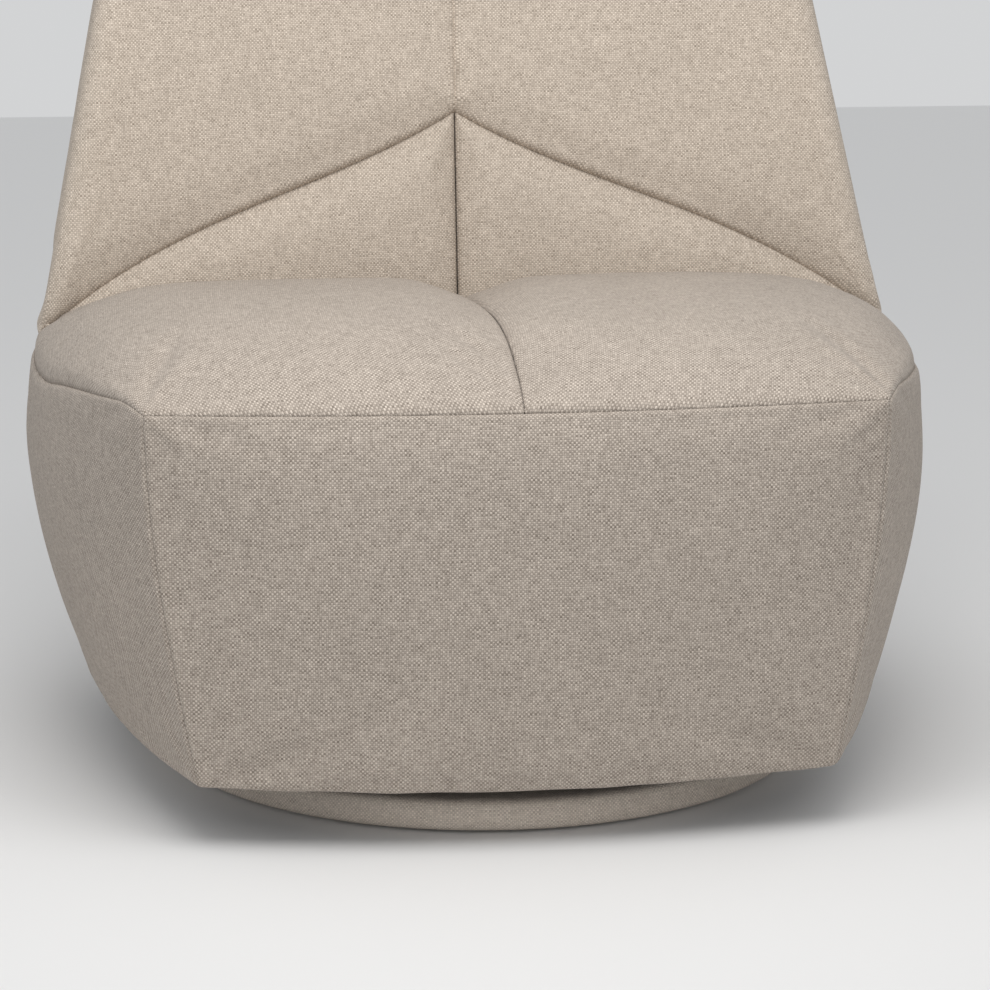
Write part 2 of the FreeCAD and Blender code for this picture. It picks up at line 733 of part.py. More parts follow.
straps = []
for i in range(STRAPS):
    low = f"(dims.strap_first_z + {i} * dims.strap_step)"
    high = f"({low} + dims.strap_width)"
    corners = [
        (f"{post_front(low)} - dims.strap_thickness", low),
        (post_front(low), low),
        (post_front(high), high),
        (f"{post_front(high)} - dims.strap_thickness", high),
    ]
    straps.append(plate(f"strap_{i}", corners, "2 * (dims.back_post_x + dims.back_post_width)",
                        "-dims.back_post_x - dims.back_post_width"))
keep(group("back_webbing", straps))
doc.recompute()


# ---------------------------------------------------------------- bottom and seat rails, corner posts

rail_inset = size("pad_thickness") + size("frame_gap")
bottom_rail_z = size("hem_z") + size("bottom_rail_lift")
bottom_heights = [bottom_rail_z, bottom_rail_z + size("bottom_rail_height")]
bottom_inner = rail_inset + size("bottom_rail_width")
seat_rail_top = size("seam_z") - size("seat_foam_thickness") - size("spring_space")
seat_heights = [seat_rail_top - size("seat_rail_height"), seat_rail_top]
seat_inner = rail_inset + size("seat_rail_width")
posts = Part.makeCompound([back_post.Shape, back_post_left.Shape])

keep(shaped("bottom_rail_front", band(front_wire, bottom_heights, rail_inset, bottom_inner)))
keep(shaped("bottom_rail_rear", band(rear_wire, bottom_heights, rail_inset, bottom_inner)))
bottom_side = band(side_wire, bottom_heights, rail_inset, bottom_inner)
keep(shaped("bottom_rail_right", bottom_side))
keep(shaped("bottom_rail_left", left_of(bottom_side)))
keep(shaped("seat_rail_front", band(front_wire, seat_heights, rail_inset, seat_inner)))
keep(shaped("seat_rail_rear", band(rear_wire, seat_heights, rail_inset, seat_inner).cut(posts)))
seat_side = band(side_wire, seat_heights, rail_inset, seat_inner)
keep(shaped("seat_rail_right", seat_side))
keep(shaped("seat_rail_left", left_of(seat_side)))

POST_SIZE = ("dims.corner_post", "dims.corner_post", f"{SEAT_RAIL_Z} - {BOARD_Z}")
front_post = box(
    "front_post_right",
    ("dims.seat_half_width - dims.hem_tuck - dims.front_narrowing - dims.pad_thickness - dims.corner_post"
     " - dims.frame_gap",
     "dims.front_y + dims.pad_thickness + 2 * dims.frame_gap", BOARD_Z), POST_SIZE,
)
rear_post = box(
    "rear_post_right",
    ("dims.seat_half_width - dims.hem_tuck - dims.pad_thickness - dims.corner_post - dims.rear_post_inset",
     "dims.rear_corner_y - dims.rear_tuck - dims.pad_thickness - dims.corner_post - 2 * dims.frame_gap",
     BOARD_Z), POST_SIZE,
)
keep(group("corner_posts", [
    front_post, mirrored("front_post_left", front_post), rear_post, mirrored("rear_post_left", rear_post),
]))

dust_blank = Part.Face(whole_wire(bottom_rail_z, rail_inset)).extrude(vec(0, 0, -size("dust_cloth")))
hole_x = measure(rear_post, f"{RAIL_X} + dims.rail_flange + dims.dust_hole_margin")
dust_hole = Part.makeBox(2 * hole_x, 2 * size("dust_hole_y"), 3 * size("dust_cloth"))
dust_hole.translate(vec(-hole_x, size("axis_y") - size("dust_hole_y"),
                        bottom_rail_z - 2 * size("dust_cloth")))
keep(shaped("dust_cover", dust_blank.cut(dust_hole)))


# ---------------------------------------------------------------- seat springs and clips

def spring_rear_y():
    """Where the springs end: over the rear seat rail."""
    _, _, _, _, middle = body_points(seat_rail_top, rail_inset)
    return middle.y - size("seat_rail_width") * 0.5


def spring_path(x, y_low, y_high, z):
    """A zigzag of straight bars joined by half circles, with a straight end at each rail."""
    reach = size("spring_reach")
    half = size("spring_pitch") / 4
    turns = int((y_high - y_low) / (2 * half)) - 1
    start = (y_low + y_high) / 2 - turns * half
    edges = [line(vec(x, y_low, z), vec(x, start - half, z))]
    at = vec(x, start - half, z)
    for i in range(turns + 1):
        side = 1 if i % 2 else -1
        y = start + (2 * i) * half
        corner_low = vec(x + side * (reach - half), y - half, z)
        corner_high = vec(x + side * (reach - half), y + half, z)
        edges.append(line(at, corner_low))
        edges.append(arc(corner_low, vec(x + side * reach, y, z), corner_high))
        at = corner_high
    edges.append(line(at, vec(x, at.y, z)))
    edges.append(line(vec(x, at.y, z), vec(x, y_high, z)))
    return Part.Wire(edges)


def spring(x):
    z = seat_rail_top + size("spring_space") / 2
    path = spring_path(x, size("spring_front_y"), spring_rear_y(), z)
    start = path.OrderedVertexes[0].Point
    section = Part.Wire(Part.Circle(start, vec(0, 1, 0), size("spring_wire")).toShape())
    return path.makePipeShell([section], True, False, 2)


spring_xs = [size("spring_spacing") * (i - (SPRINGS - 1) / 2) for i in range(SPRINGS)]
springs = Part.makeCompound([spring(x) for x in spring_xs])
keep(shaped("seat_springs", springs))

clips = []
for x in spring_xs:
    for y in (size("spring_front_y"), spring_rear_y() - size("clip_length")):
        clip = Part.makeBox(size("clip_width"), size("clip_length"), size("spring_space"))
        clip.translate(vec(x - size("clip_width") / 2, y, seat_rail_top))
        clips.append(clip.cut(springs))
keep(shaped("spring_clips", Part.makeCompound(clips)))


# ---------------------------------------------------------------- foam and fabric panels of the body

body_heights = steps(size("hem_z"), size("seam_z"), BODY_LEVELS)
pad = size("pad_thickness")
keep(shaped("front_pad", band(front_wire, body_heights, 0, pad)))
keep(shaped("rear_pad", band(rear_wire, body_heights, 0, pad)))
side_pad = band(side_wire, body_heights, 0, pad)
keep(shaped("side_pad_right", side_pad))
keep(shaped("side_pad_left", left_of(side_pad)))

foam_low = size("seam_z") - size("seat_foam_thickness")
foam_blank = loft([whole_wire(z, rail_inset) for z in steps(foam_low, size("seam_z"), 3)])
behind = Part.makeBox(2000, 1000, 1000)
behind.translate(vec(-1000, size("seat_foam_rear_y"), 0))
keep(shaped("seat_foam", foam_blank.cut(behind)))


def seat_half_wire(z, inset):
    """Right half of the seat top: front, side, the hollow curve of the back, and the centre seam."""
    front, shoulder, _, front_middle, _ = body_points(size("seam_z"), inset)
    deep = vec(0, size("shoulder_y") + size("back_hollow"), 0)
    for point in (front, shoulder, front_middle, deep):
        point.z = z
    return Part.Wire([
        part_arc(front_middle, front, curve_radius(front_middle, front)),
        shoulder_arc(shoulder, front),
        part_arc(deep, shoulder, curve_radius(deep, shoulder)),
        line(deep, front_middle),
    ])


crown = size("seat_crown")
dome = [(0, 0), (0.35, 15), (0.7, 50), (1, 130)]
seat_pad = loft([seat_half_wire(size("seam_z") + rise * crown, inset) for rise, inset in dome])
keep(shaped("seat_pad_right", seat_pad))
keep(shaped("seat_pad_left", left_of(seat_pad)))


# ---------------------------------------------------------------- back: foam, four face panels, outside back

def back_points(z):
    """Edge, hollow middle, rear corner and rear middle of the back at a height."""
    share = (z - size("seam_z")) / (size("back_top_z") - size("seam_z"))
    over = max(0, z - size("back_top_z") + size("top_corner_radius"))
    rounding = size("top_corner_radius") - math.sqrt(max(0, size("top_corner_radius") ** 2 - over ** 2))
    half = size("seat_half_width") - size("back_taper") * share - rounding
    edge = vec(half, size("shoulder_y") + size("edge_lean") * share, z)
    deep_y = edge.y + size("back_hollow") + (size("back_top_hollow") - size("back_hollow")) * share
    narrowing = size("rear_narrowing") + (size("back_rear_narrowing") - size("rear_narrowing")) * share
    rear_top_y = size("shoulder_y") + size("edge_lean") + size("back_edge_depth")
    rear_y = size("rear_corner_y") + (rear_top_y - size("rear_corner_y")) * share
    bulge = size("rear_bulge") + (size("back_top_bulge") - size("rear_bulge")) * share
    middle_y = rear_y + bulge + size("back_belly") * hump(share)
    return edge, vec(0, deep_y, z), vec(half - narrowing, rear_y, z), vec(0, middle_y, z)


def shifted(point, x, y):
    return point + vec(x, y, 0)


def wrap_wire(z):
    """Right half of the face panels: over the front, round the edge and back to the rear corner."""
    edge, deep, rear, _ = back_points(z)
    edge_in = shifted(edge, -size("back_wrap"), size("back_pad"))
    deep_in = shifted(deep, 0, size("back_pad"))
    rear_in = shifted(rear, -size("back_wrap"), -size("outside_back"))
    return Part.Wire([
        part_arc(deep, edge, curve_radius(deep, edge)),
        shoulder_arc(edge, rear),
        line(rear, rear_in),
        line(rear_in, edge_in),
        part_arc(deep_in, edge_in, curve_radius(deep_in, edge_in)),
        line(deep_in, deep),
    ])


def roll_wire(z):
    """Right half of the roll that closes the top of the back."""
    edge, deep, rear, rear_middle = back_points(z)
    return Part.Wire([
        part_arc(deep, edge, curve_radius(deep, edge)),
        shoulder_arc(edge, rear),
        part_arc(rear_middle, rear, curve_radius(rear_middle, rear)),
        line(rear_middle, deep),
    ])


def outside_wire(z):
    _, _, rear, middle = back_points(z)
    rear_in = shifted(rear, -size("back_wrap"), -size("outside_back"))
    middle_in = shifted(middle, 0, -size("outside_back"))
    return Part.Wire([
        arc(flip(rear), middle, rear),
        line(rear, rear_in),
        arc(rear_in, middle_in, flip(rear_in)),
        line(flip(rear_in), flip(rear)),
    ])


def core_wire(z):
    """Foam between the face panels and the webbing, whose plane is the posts' front."""
    edge, deep, rear, _ = back_points(z)
    share = (z - size("seam_z")) / (post_top_z - size("seam_z"))
    top_share = (post_top_z - size("seam_z")) / (size("back_top_z") - size("seam_z"))
    seat_front = size("shoulder_y") + size("back_hollow") + size("back_pad") + size("foam_core")
    top_hollow = size("back_hollow") + (size("back_top_hollow") - size("back_hollow")) * top_share
    top_front = (size("shoulder_y") + size("edge_lean") * top_share + top_hollow
                 + size("back_pad") + size("foam_core_top"))
    web_y = seat_front + (top_front - seat_front) * share - size("strap_thickness") - 1
    face = shifted(edge, -size("back_wrap") - 1, size("back_pad") + 1)
    deep_face = shifted(deep, 0, size("back_pad") + 1)
    rear_in = shifted(rear, -size("back_wrap") - 1, -size("outside_back"))
    side = face.x + (rear_in.x - face.x) * (web_y - face.y) / (rear_in.y - face.y)
    return Part.Wire([
        arc(flip(face), deep_face, face),
        line(face, vec(side, web_y, z)),
        line(vec(side, web_y, z), vec(-side, web_y, z)),
        line(vec(-side, web_y, z), flip(face)),
    ])


roll_z = size("back_top_z") - size("top_roll")
corner_z = size("back_top_z") - size("top_corner_radius")
post_top_z = size("back_top_z") - size("back_post_stop")
face_heights = steps(size("seam_z"), corner_z, 5) + steps(corner_z, roll_z, 3)[1:]
roll_heights = steps(roll_z, size("back_top_z"), 3)

face = loft([wrap_wire(z) for z in face_heights])
roll = loft([roll_wire(z) for z in roll_heights])
vee = Part.makePolygon([
    vec(-1, -500, size("seam_z") - 50), vec(-1, -500, size("vee_apex_z")),
    vec(0, -500, size("vee_apex_z")), vec(size("vee_foot_x"), -500, size("seam_z")),
    vec(size("vee_foot_x"), -500, size("seam_z") - 50), vec(-1, -500, size("seam_z") - 50),
])
wedge = Part.Face(vee).extrude(vec(0, 1500, 0))
lower_face = face.common(wedge)
upper_face = face.cut(wedge).fuse(roll)
keep(shaped("back_pad_lower_right", lower_face))
keep(shaped("back_pad_lower_left", left_of(lower_face)))
keep(shaped("back_pad_upper_right", upper_face))
keep(shaped("back_pad_upper_left", left_of(upper_face)))
keep(shaped("outside_back", loft([outside_wire(z) for z in face_heights])))
keep(shaped("back_foam", loft([core_wire(z) for z in face_heights])))


# ---------------------------------------------------------------- check and write

doc.recompute()
for obj in doc.Objects:
    if "Invalid" in obj.State or "Error" in obj.State:
        raise RuntimeError(f"{obj.Label} failed to recompute: {obj.State}")
os.makedirs("parts", exist_ok=True)
for obj in nodes:
    shape = obj.Shape
    if shape.isNull() or not shape.isValid() or not shape.Solids:
        raise RuntimeError(f"{obj.Label} has no valid solid")
for obj in nodes:
    obj.Shape.exportStep(f"parts/{obj.Label}.step")
print(len(nodes), "sub-parts written")
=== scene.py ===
import math

import bmesh
import bpy
from mathutils import Matrix, Vector, noise


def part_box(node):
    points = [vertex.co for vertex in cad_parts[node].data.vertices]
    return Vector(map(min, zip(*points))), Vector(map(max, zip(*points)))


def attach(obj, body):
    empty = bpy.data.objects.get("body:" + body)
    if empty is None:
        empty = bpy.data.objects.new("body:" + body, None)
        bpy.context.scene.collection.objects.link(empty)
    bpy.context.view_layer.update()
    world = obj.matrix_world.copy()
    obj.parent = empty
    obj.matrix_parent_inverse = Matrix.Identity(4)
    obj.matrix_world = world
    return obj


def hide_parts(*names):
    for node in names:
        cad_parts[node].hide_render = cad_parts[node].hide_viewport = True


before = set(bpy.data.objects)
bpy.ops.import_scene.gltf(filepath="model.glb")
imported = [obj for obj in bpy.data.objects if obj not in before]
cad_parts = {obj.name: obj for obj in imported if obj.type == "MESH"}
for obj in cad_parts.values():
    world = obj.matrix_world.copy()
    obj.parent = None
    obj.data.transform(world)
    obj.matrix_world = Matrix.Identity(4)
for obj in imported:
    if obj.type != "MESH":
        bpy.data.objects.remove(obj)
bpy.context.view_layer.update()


# ---------------------------------------------------------------- front panel
# One panel of woven cover over wadding, from the hem to the seam under the seat's front edge.
# It swells forwards at the middle, its side edges are sewn to the side panels, and its hem is
# turned under the frame and stapled there.

def place(tree, kind, inputs=None, **settings):
    """Puts a node in a tree; an input takes a plain value or another node's socket."""
    node = tree.nodes.new(kind)
    for name, value in settings.items():
        setattr(node, name, value)
    for name, value in (inputs or {}).items():
        if isinstance(value, bpy.types.NodeSocket):
            tree.links.new(value, node.inputs[name])
        else:
            node.inputs[name].default_value = value
    return node


def sums(tree, operation, first, second=0.0, third=0.0):
    """A Math node's result."""
    node = place(tree, "ShaderNodeMath", {0: first, 1: second, 2: third}, operation=operation)
    return node.outputs[0]


def blended(tree, share, first, second, how="MIX"):
    """Two colours mixed by a share."""
    node = place(tree, "ShaderNodeMix", {0: share, 6: first, 7: second}, data_type="RGBA", blend_type=how)
    return node.outputs[2]


def effect(name, inputs, outputs):
    """An empty node group with named inputs and outputs, as (group, its input sockets, its output node)."""
    group = bpy.data.node_groups.new(name, "ShaderNodeTree")
    for label, kind, value in inputs:
        socket = group.interface.new_socket(name=label, in_out="INPUT", socket_type=f"NodeSocket{kind}")
        if value is not None:
            socket.default_value = value
    for label, kind in outputs:
        group.interface.new_socket(name=label, in_out="OUTPUT", socket_type=f"NodeSocket{kind}")
    return group, group.nodes.new("NodeGroupInput").outputs, group.nodes.new("NodeGroupOutput")


def fill_outputs(group, output, results):
    for label, socket in results.items():
        group.links.new(socket, output.inputs[label])


# plain weave of slubby yarns: threads cross over and under, each with its own tone and thickness, and the
# colour carries painted shade in the crevices between them
weave, given, out = effect(
    "plain_weave",
    [("Cloth", "Vector", None), ("Threads per metre", "Float", 520.0), ("Light yarn", "Color", (1, 1, 1, 1)),
     ("Dark yarn", "Color", (0, 0, 0, 1)), ("Contrast", "Float", 0.6), ("Slub", "Float", 0.5),
     ("Crevice shade", "Float", 0.5)],
    [("Colour", "Color"), ("Roughness", "Float"), ("Height", "Float")],
)
drift = place(weave, "ShaderNodeTexNoise", {"Vector": given["Cloth"], "Scale": 34.0, "Detail": 2.0})
sway = place(weave, "ShaderNodeVectorMath", {0: drift.outputs["Color"], 1: (0.5, 0.5, 0.5)},
             operation="SUBTRACT")
sway = place(weave, "ShaderNodeVectorMath", {0: sway.outputs[0], "Scale": 0.0022}, operation="SCALE")
true_cloth = place(weave, "ShaderNodeVectorMath", {0: given["Cloth"], 1: sway.outputs[0]}, operation="ADD")
counted = place(weave, "ShaderNodeVectorMath",
                {0: true_cloth.outputs[0], "Scale": given["Threads per metre"]}, operation="SCALE")
axes = place(weave, "ShaderNodeSeparateXYZ", {0: counted.outputs[0]})
warp, weft = axes.outputs[0], axes.outputs[1]
warp_wave = sums(weave, "SINE", sums(weave, "MULTIPLY", warp, math.pi))
weft_wave = sums(weave, "SINE", sums(weave, "MULTIPLY", weft, math.pi))
crossing = sums(weave, "MULTIPLY", warp_wave, weft_wave)
over = place(weave, "ShaderNodeMapRange", {"Value": crossing, "From Min": -0.12, "From Max": 0.12},
             interpolation_type="SMOOTHSTEP").outputs[0]
bulge = sums(weave, "POWER", sums(weave, "ABSOLUTE", crossing), 0.5)


def yarn_tone(number, along):
    """Tone of a yarn: its own shade, and slow changes of thickness along it."""
    spot = place(weave, "ShaderNodeCombineXYZ",
                 {0: sums(weave, "MULTIPLY", sums(weave, "FLOOR", number), 3.71),
                  1: sums(weave, "MULTIPLY", along, 0.16)})
    return place(weave, "ShaderNodeTexNoise",
                 {"Vector": spot.outputs[0], "Scale": 1.0, "Detail": 2.0, "Roughness": 0.6}).outputs["Fac"]


warp_tone = yarn_tone(warp, weft)
weft_tone = yarn_tone(sums(weave, "ADD", weft, 517.0), warp)
tone = place(weave, "ShaderNodeMix", {0: over, 2: weft_tone, 3: warp_tone}).outputs[0]
tone = sums(weave, "ADD", sums(weave, "MULTIPLY", sums(weave, "SUBTRACT", tone, 0.5), given["Slub"]), 0.5)
contrast = sums(weave, "MULTIPLY", sums(weave, "SUBTRACT", over, 0.5), given["Contrast"])
tone = sums(weave, "ADD", tone, contrast)
fleck = place(weave, "ShaderNodeTexNoise", {"Vector": counted.outputs[0], "Scale": 0.9, "Detail": 3.0})
fleck_tone = sums(weave, "MULTIPLY", sums(weave, "SUBTRACT", fleck.outputs["Fac"], 0.5), 0.5)
tone = sums(weave, "ADD", tone, fleck_tone)
tone = place(weave, "ShaderNodeClamp", {0: tone}).outputs[0]
yarn = blended(weave, tone, given["Dark yarn"], given["Light yarn"])
# painted shade: the colour is darkened where the threads dip between crossings, by the crevice share
deepest = sums(weave, "SUBTRACT", 1.0, given["Crevice shade"])
shade = place(weave, "ShaderNodeMapRange", {"Value": bulge, "From Max": 0.75, "To Min": deepest}).outputs[0]
patch = place(weave, "ShaderNodeTexNoise", {"Vector": given["Cloth"], "Scale": 7.0, "Detail": 2.0})
patch_shade = place(weave, "ShaderNodeMapRange",
                    {"Value": patch.outputs["Fac"], "To Min": 0.93, "To Max": 1.06})
shade = sums(weave, "MULTIPLY", shade, patch_shade.outputs[0])
shade_colour = place(weave, "ShaderNodeCombineColor", {0: shade, 1: shade, 2: shade})
fibre = place(weave, "ShaderNodeMapRange", {"Value": bulge, "To Min": 0.98, "To Max": 0.86})
fill_outputs(weave, out, {
    "Colour": blended(weave, 1.0, yarn, shade_colour.outputs[0], "MULTIPLY"),
    "Roughness": fibre.outputs[0],
    "Height": sums(weave, "ADD", bulge, sums(weave, "MULTIPLY", tone, 0.35)),
})


def material_with(name, group, values, shader, bump):
    """A Principled material fed by an effect; bump is (strength, distance) or None for a smooth finish."""
    made = bpy.data.materials.new(name)
    made.use_nodes = True
    tree = made.node_tree
    tree.nodes.clear()
    effect_node = place(tree, "ShaderNodeGroup", node_tree=group)
    for label, value in values.items():
        effect_node.inputs[label].default_value = value
    skin = place(tree, "ShaderNodeBsdfPrincipled", {
        "Base Color": effect_node.outputs["Colour"], "Roughness": effect_node.outputs["Roughness"], **shader,
    })
    if bump:
        relief = place(tree, "ShaderNodeBump", {
            "Strength": bump[0], "Distance": bump[1], "Height": effect_node.outputs["Height"],
        })
        tree.links.new(relief.outputs[0], skin.inputs["Normal"])
    surface = place(tree, "ShaderNodeOutputMaterial")
    tree.links.new(skin.outputs[0], surface.inputs["Surface"])
    return made, tree, effect_node


def cloth_material(name, light, dark, threads, contrast, slub, crevice_shade, bump, shader):
    """Woven cloth laid out by the piece's own cloth map."""
    made, tree, effect_node = material_with(
        name, weave, {"Light yarn": (*light, 1), "Dark yarn": (*dark, 1), "Threads per metre": threads,
                      "Contrast": contrast, "Slub": slub, "Crevice shade": crevice_shade}, shader, bump)
    cloth_map = place(tree, "ShaderNodeUVMap", uv_map="cloth")
    tree.links.new(cloth_map.outputs[0], effect_node.inputs["Cloth"])
    return made


MATT_CLOTH = {"Sheen Weight": 0.10, "Sheen Roughness": 0.45, "Specular IOR Level": 0.25}
# painted shade: the body's copy of the cover cloth is made darker than the back's, so the seat, front and
# sides come out darker under the same lamps
body_cover_painted_shade = cloth_material(
    "body_cover_painted_shade", (0.65, 0.573, 0.497), (0.21, 0.174, 0.144), 470.0, 0.42, 1.3, 0.36, (0.5, 0.0008),
    {**MATT_CLOTH, "Sheen Tint": (0.9, 0.87, 0.86, 1)},
)

HEM_Z, SEAM_Z = 0.068, 0.431
SHOULDER_Y = 0.095
FRONT_Y, FRONT_BULGE = -0.400, 0.030
PANEL_SPACING = 0.0075
SEAM_WIDTH, SEAM_DEPTH = 0.010, 0.0045
HEM_TURN = (-0.030, -0.020, -0.010, -0.004)
HEM_DROP, HEM_RISE = 0.005, 0.004
HEM_WIDTH, HEM_DEPTH = 0.012, 0.008
COVER_THICKNESS = 0.005
BROAD_LUMPS, FINE_LUMPS = (9, 0.0012), (31, 0.0005)
FREE_FROM_SEAM = 0.05
cover_panels = []


def mix(first, second, share):
    return first + (second - first) * share


def ease(value, low, high):
    """0 below low, 1 above high, smooth in between."""
    share = min(max((value - low) / (high - low), 0), 1)
    return share * share * (3 - 2 * share)


def up_share(z):
    return (z - HEM_Z) / (SEAM_Z - HEM_Z)


def swell(z):
    """How far a height is from the hem and from the seam, fuller towards the seam."""
    share = up_share(z)
    return 4 * share * (1 - share) * (1 + 0.6 * (share - 0.5))


def side_x(z):
    return 0.462 - 0.043 * (1 - up_share(z))


def front_corner_x(z):
    return side_x(z) - 0.106 + 0.009 * swell(z)


def spread(length, spacing=PANEL_SPACING, crowd=0.6):
    """Shares from 0 to 1 across a length, closer together towards both ends, where a panel turns in."""
    count = max(4, round(length / spacing))
    even = [i / count for i in range(count + 1)]
    return [mix(share, 0.5 - 0.5 * math.cos(math.pi * share), crowd) for share in even]


def tuck(distance, width):
    """1 at a seam, falling along a quarter round to 0 at width from it."""
    share = min(max(distance / width, 0), 1)
    return 1 - math.sqrt(1 - (1 - share) ** 2)


def to_core(point, level=1.0):
    """Which way a seam of the body is pulled: in towards the middle, and down too along the top."""
    inwards = Vector((-point.x, -point.y, 0)).normalized() * level
    return (inwards - Vector((0, 0, ease(point.z, 0.385, 0.425)))).normalized()


def lay_panel(name, across, upwards, lay, facing, material, body="chair", close=False, slack=0.0):
    """A sewn panel: a grid whose points lay(u, v) gives as (point, cloth measures, seams, pull).

    Each seam is (distance, width, depth): the panel dives along pull where it nears the seam.
    """
    sheet = bmesh.new()
    bmesh.ops.create_grid(sheet, x_segments=len(across) - 1, y_segments=len(upwards) - 1, size=0.5)
    near_seam = sheet.verts.layers.float.new("near_seam")
    cloth = {}
    for vert in sheet.verts:
        u = across[round((vert.co.x + 0.5) * (len(across) - 1))]
        v = upwards[round((vert.co.y + 0.5) * (len(upwards) - 1))]
        point, measures, seams, pull = lay(u, v)
        depth = max((seam[2] * tuck(seam[0], seam[1]) for seam in seams), default=0)
        lumps = sum(height * noise.noise(point * pitch) for pitch, height in (BROAD_LUMPS, FINE_LUMPS))
        free = min((ease(seam[0], 0, FREE_FROM_SEAM) for seam in seams), default=0)
        vert.co = point + pull * (depth + (lumps + slack) * free)
        vert[near_seam] = max((1 - min(seam[0] / 0.03, 1) for seam in seams), default=0)
        cloth[vert] = measures
    cloth_map = sheet.loops.layers.uv.new("cloth")
    for face in sheet.faces:
        face.smooth = True
        for loop in face.loops:
            loop[cloth_map].uv = cloth[loop.vert]
    if close:
        bmesh.ops.remove_doubles(sheet, verts=sheet.verts, dist=1e-5)
    sheet.normal_update()
    middle = sorted(sheet.faces, key=lambda face: (face.calc_center_median() - facing * 9).length)[0]
    if middle.normal.dot(facing) < 0:
        bmesh.ops.reverse_faces(sheet, faces=sheet.faces)
    mesh = bpy.data.meshes.new(name)
    sheet.to_mesh(mesh)
    sewn = [vert.index for vert in sheet.verts if vert.is_boundary]
    sheet.free()
    piece = bpy.data.objects.new(name, mesh)
    bpy.context.scene.collection.objects.link(piece)
    piece.vertex_groups.new(name="sewn").add(sewn, 1.0, "REPLACE")
    mesh.materials.append(material)
    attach(piece, body)
    return piece


def under_hem(point, pull, across, z, v):
    """A row of cover turned in under the frame; v is minus its distance from the fold."""
    under = pull * (HEM_DEPTH - v) + Vector((0, 0, HEM_RISE * min(v / HEM_TURN[0], 1)))
    return point + under, (across, z + v), [], pull


def front_lay(u, v):
    q = 2 * u - 1
    hem = HEM_Z - HEM_DROP - 0.006 * (1 - q * q) + 0.0012 * noise.noise(Vector((q * 6, 3, 0)))
    z = mix(hem, SEAM_Z, max(v, 0))
    corner = front_corner_x(z)
    y = FRONT_Y - FRONT_BULGE * (1 - q * q) - 0.006 * swell(z) * (1 - q ** 4)
    point = Vector((q * corner, y, z))
    pull = to_core(point)
    measures = (q * corner, z)
    if v < 0:
        return under_hem(point, pull, measures[0], z, v)
    side_gap = (1 - abs(q)) * corner
    seams = [(side_gap, SEAM_WIDTH, SEAM_DEPTH), (SEAM_Z - z, SEAM_WIDTH, SEAM_DEPTH),
             (z - hem, HEM_WIDTH, HEM_DEPTH)]
    return point, measures, seams, pull


upright = spread(SEAM_Z - HEM_Z)
hem_and_up = [*HEM_TURN, *upright]
front_panel = lay_panel("front_panel", spread(0.74), hem_and_up, front_lay, Vector((0, -1, 0)),
                        body_cover_painted_shade)
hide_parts("front_pad")
cover_panels.append(front_panel)


# ---------------------------------------------------------------- side panels
# Two wide panels of the same cover, one each side, from the front corner round to the rear corner.
# They belly out over the wadding at the sitter's hip, and meet the seat top and the back above.

REAR_CORNER_Y = 0.322


def rear_corner(z):
    return side_x(z) - 0.062 + 0.014 * swell(z), REAR_CORNER_Y - 0.060 * (1 - up_share(z)) + 0.014 * swell(z)


SIDE_SEAM = [(-0.400, 0.431), (-0.367, 0.4365), (-0.335, 0.435), (-0.303, 0.431), (-0.245, 0.426),
             (-0.173, 0.418), (-0.103, 0.406), (0.0, 0.400), (0.095, 0.400), (0.18, 0.408),
             (0.26, 0.421), (REAR_CORNER_Y, 0.431)]
SIDE_FRONT_SHARE = 0.68
SIDE_SLACK = 0.006


def side_seam_z(y):
    """Height of the seam along the top of a side panel."""
    heights = 0
    for step in (-0.02, -0.01, 0, 0.01, 0.02):
        softening = ease(y - FRONT_Y, 0, 0.03) * ease(REAR_CORNER_Y - y, 0, 0.03)
        spot = min(max(y + step * softening, FRONT_Y), REAR_CORNER_Y)
        for (y_low, z_low), (y_high, z_high) in zip(SIDE_SEAM, SIDE_SEAM[1:]):
            if spot <= y_high:
                heights += mix(z_low, z_high, (spot - y_low) / (y_high - y_low))
                break
    return heights / 5


def side_line_x(y, z):
    """The body's side at a height: two arcs that run fore and aft at the shoulder."""
    widest = side_x(z) + 0.033 * swell(z)
    end_x, end_y = (front_corner_x(z), FRONT_Y) if y < SHOULDER_Y else rear_corner(z)
    across = widest - end_x
    radius = (across ** 2 + (end_y - SHOULDER_Y) ** 2) / (2 * across)
    return widest - radius + math.sqrt(radius ** 2 - (y - SHOULDER_Y) ** 2)


def side_lay(side):
    def lay(u, v):
        rear_share = (u - SIDE_FRONT_SHARE) / (1 - SIDE_FRONT_SHARE)
        if rear_share < 0:
            y_top = mix(FRONT_Y, SHOULDER_Y, u / SIDE_FRONT_SHARE)
        else:
            y_top = mix(SHOULDER_Y, REAR_CORNER_Y, rear_share)
        z = mix(HEM_Z - HEM_DROP, side_seam_z(y_top), max(v, 0))
        rear_y = rear_corner(z)[1]
        y = y_top if rear_share < 0 else mix(SHOULDER_Y, rear_y, rear_share)
        point = Vector((side * side_line_x(y, z), y, z))
        pull = to_core(point)
        measures = (y * 1.02, z)
        if v < 0:
            return under_hem(point, pull, measures[0], z, v)
        seams = [(y - FRONT_Y, SEAM_WIDTH, SEAM_DEPTH), (rear_y - y, SEAM_WIDTH, SEAM_DEPTH),
                 (side_seam_z(y_top) - z, SEAM_WIDTH, SEAM_DEPTH),
                 (z - HEM_Z + HEM_DROP, HEM_WIDTH, HEM_DEPTH)]
        return point, measures, seams, pull

    return lay


for side, name in ((1, "right"), (-1, "left")):
    panel = lay_panel(f"side_panel_{name}", spread(0.76), hem_and_up, side_lay(side), Vector((side, 0, 0)),
                      body_cover_painted_shade, slack=SIDE_SLACK)
    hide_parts(f"side_pad_{name}")
    cover_panels.append(panel)


# ---------------------------------------------------------------- rear panel
# The panel below the back, sewn to the side panels at its corners and to the outside back above.

REAR_BULGE = 0.090


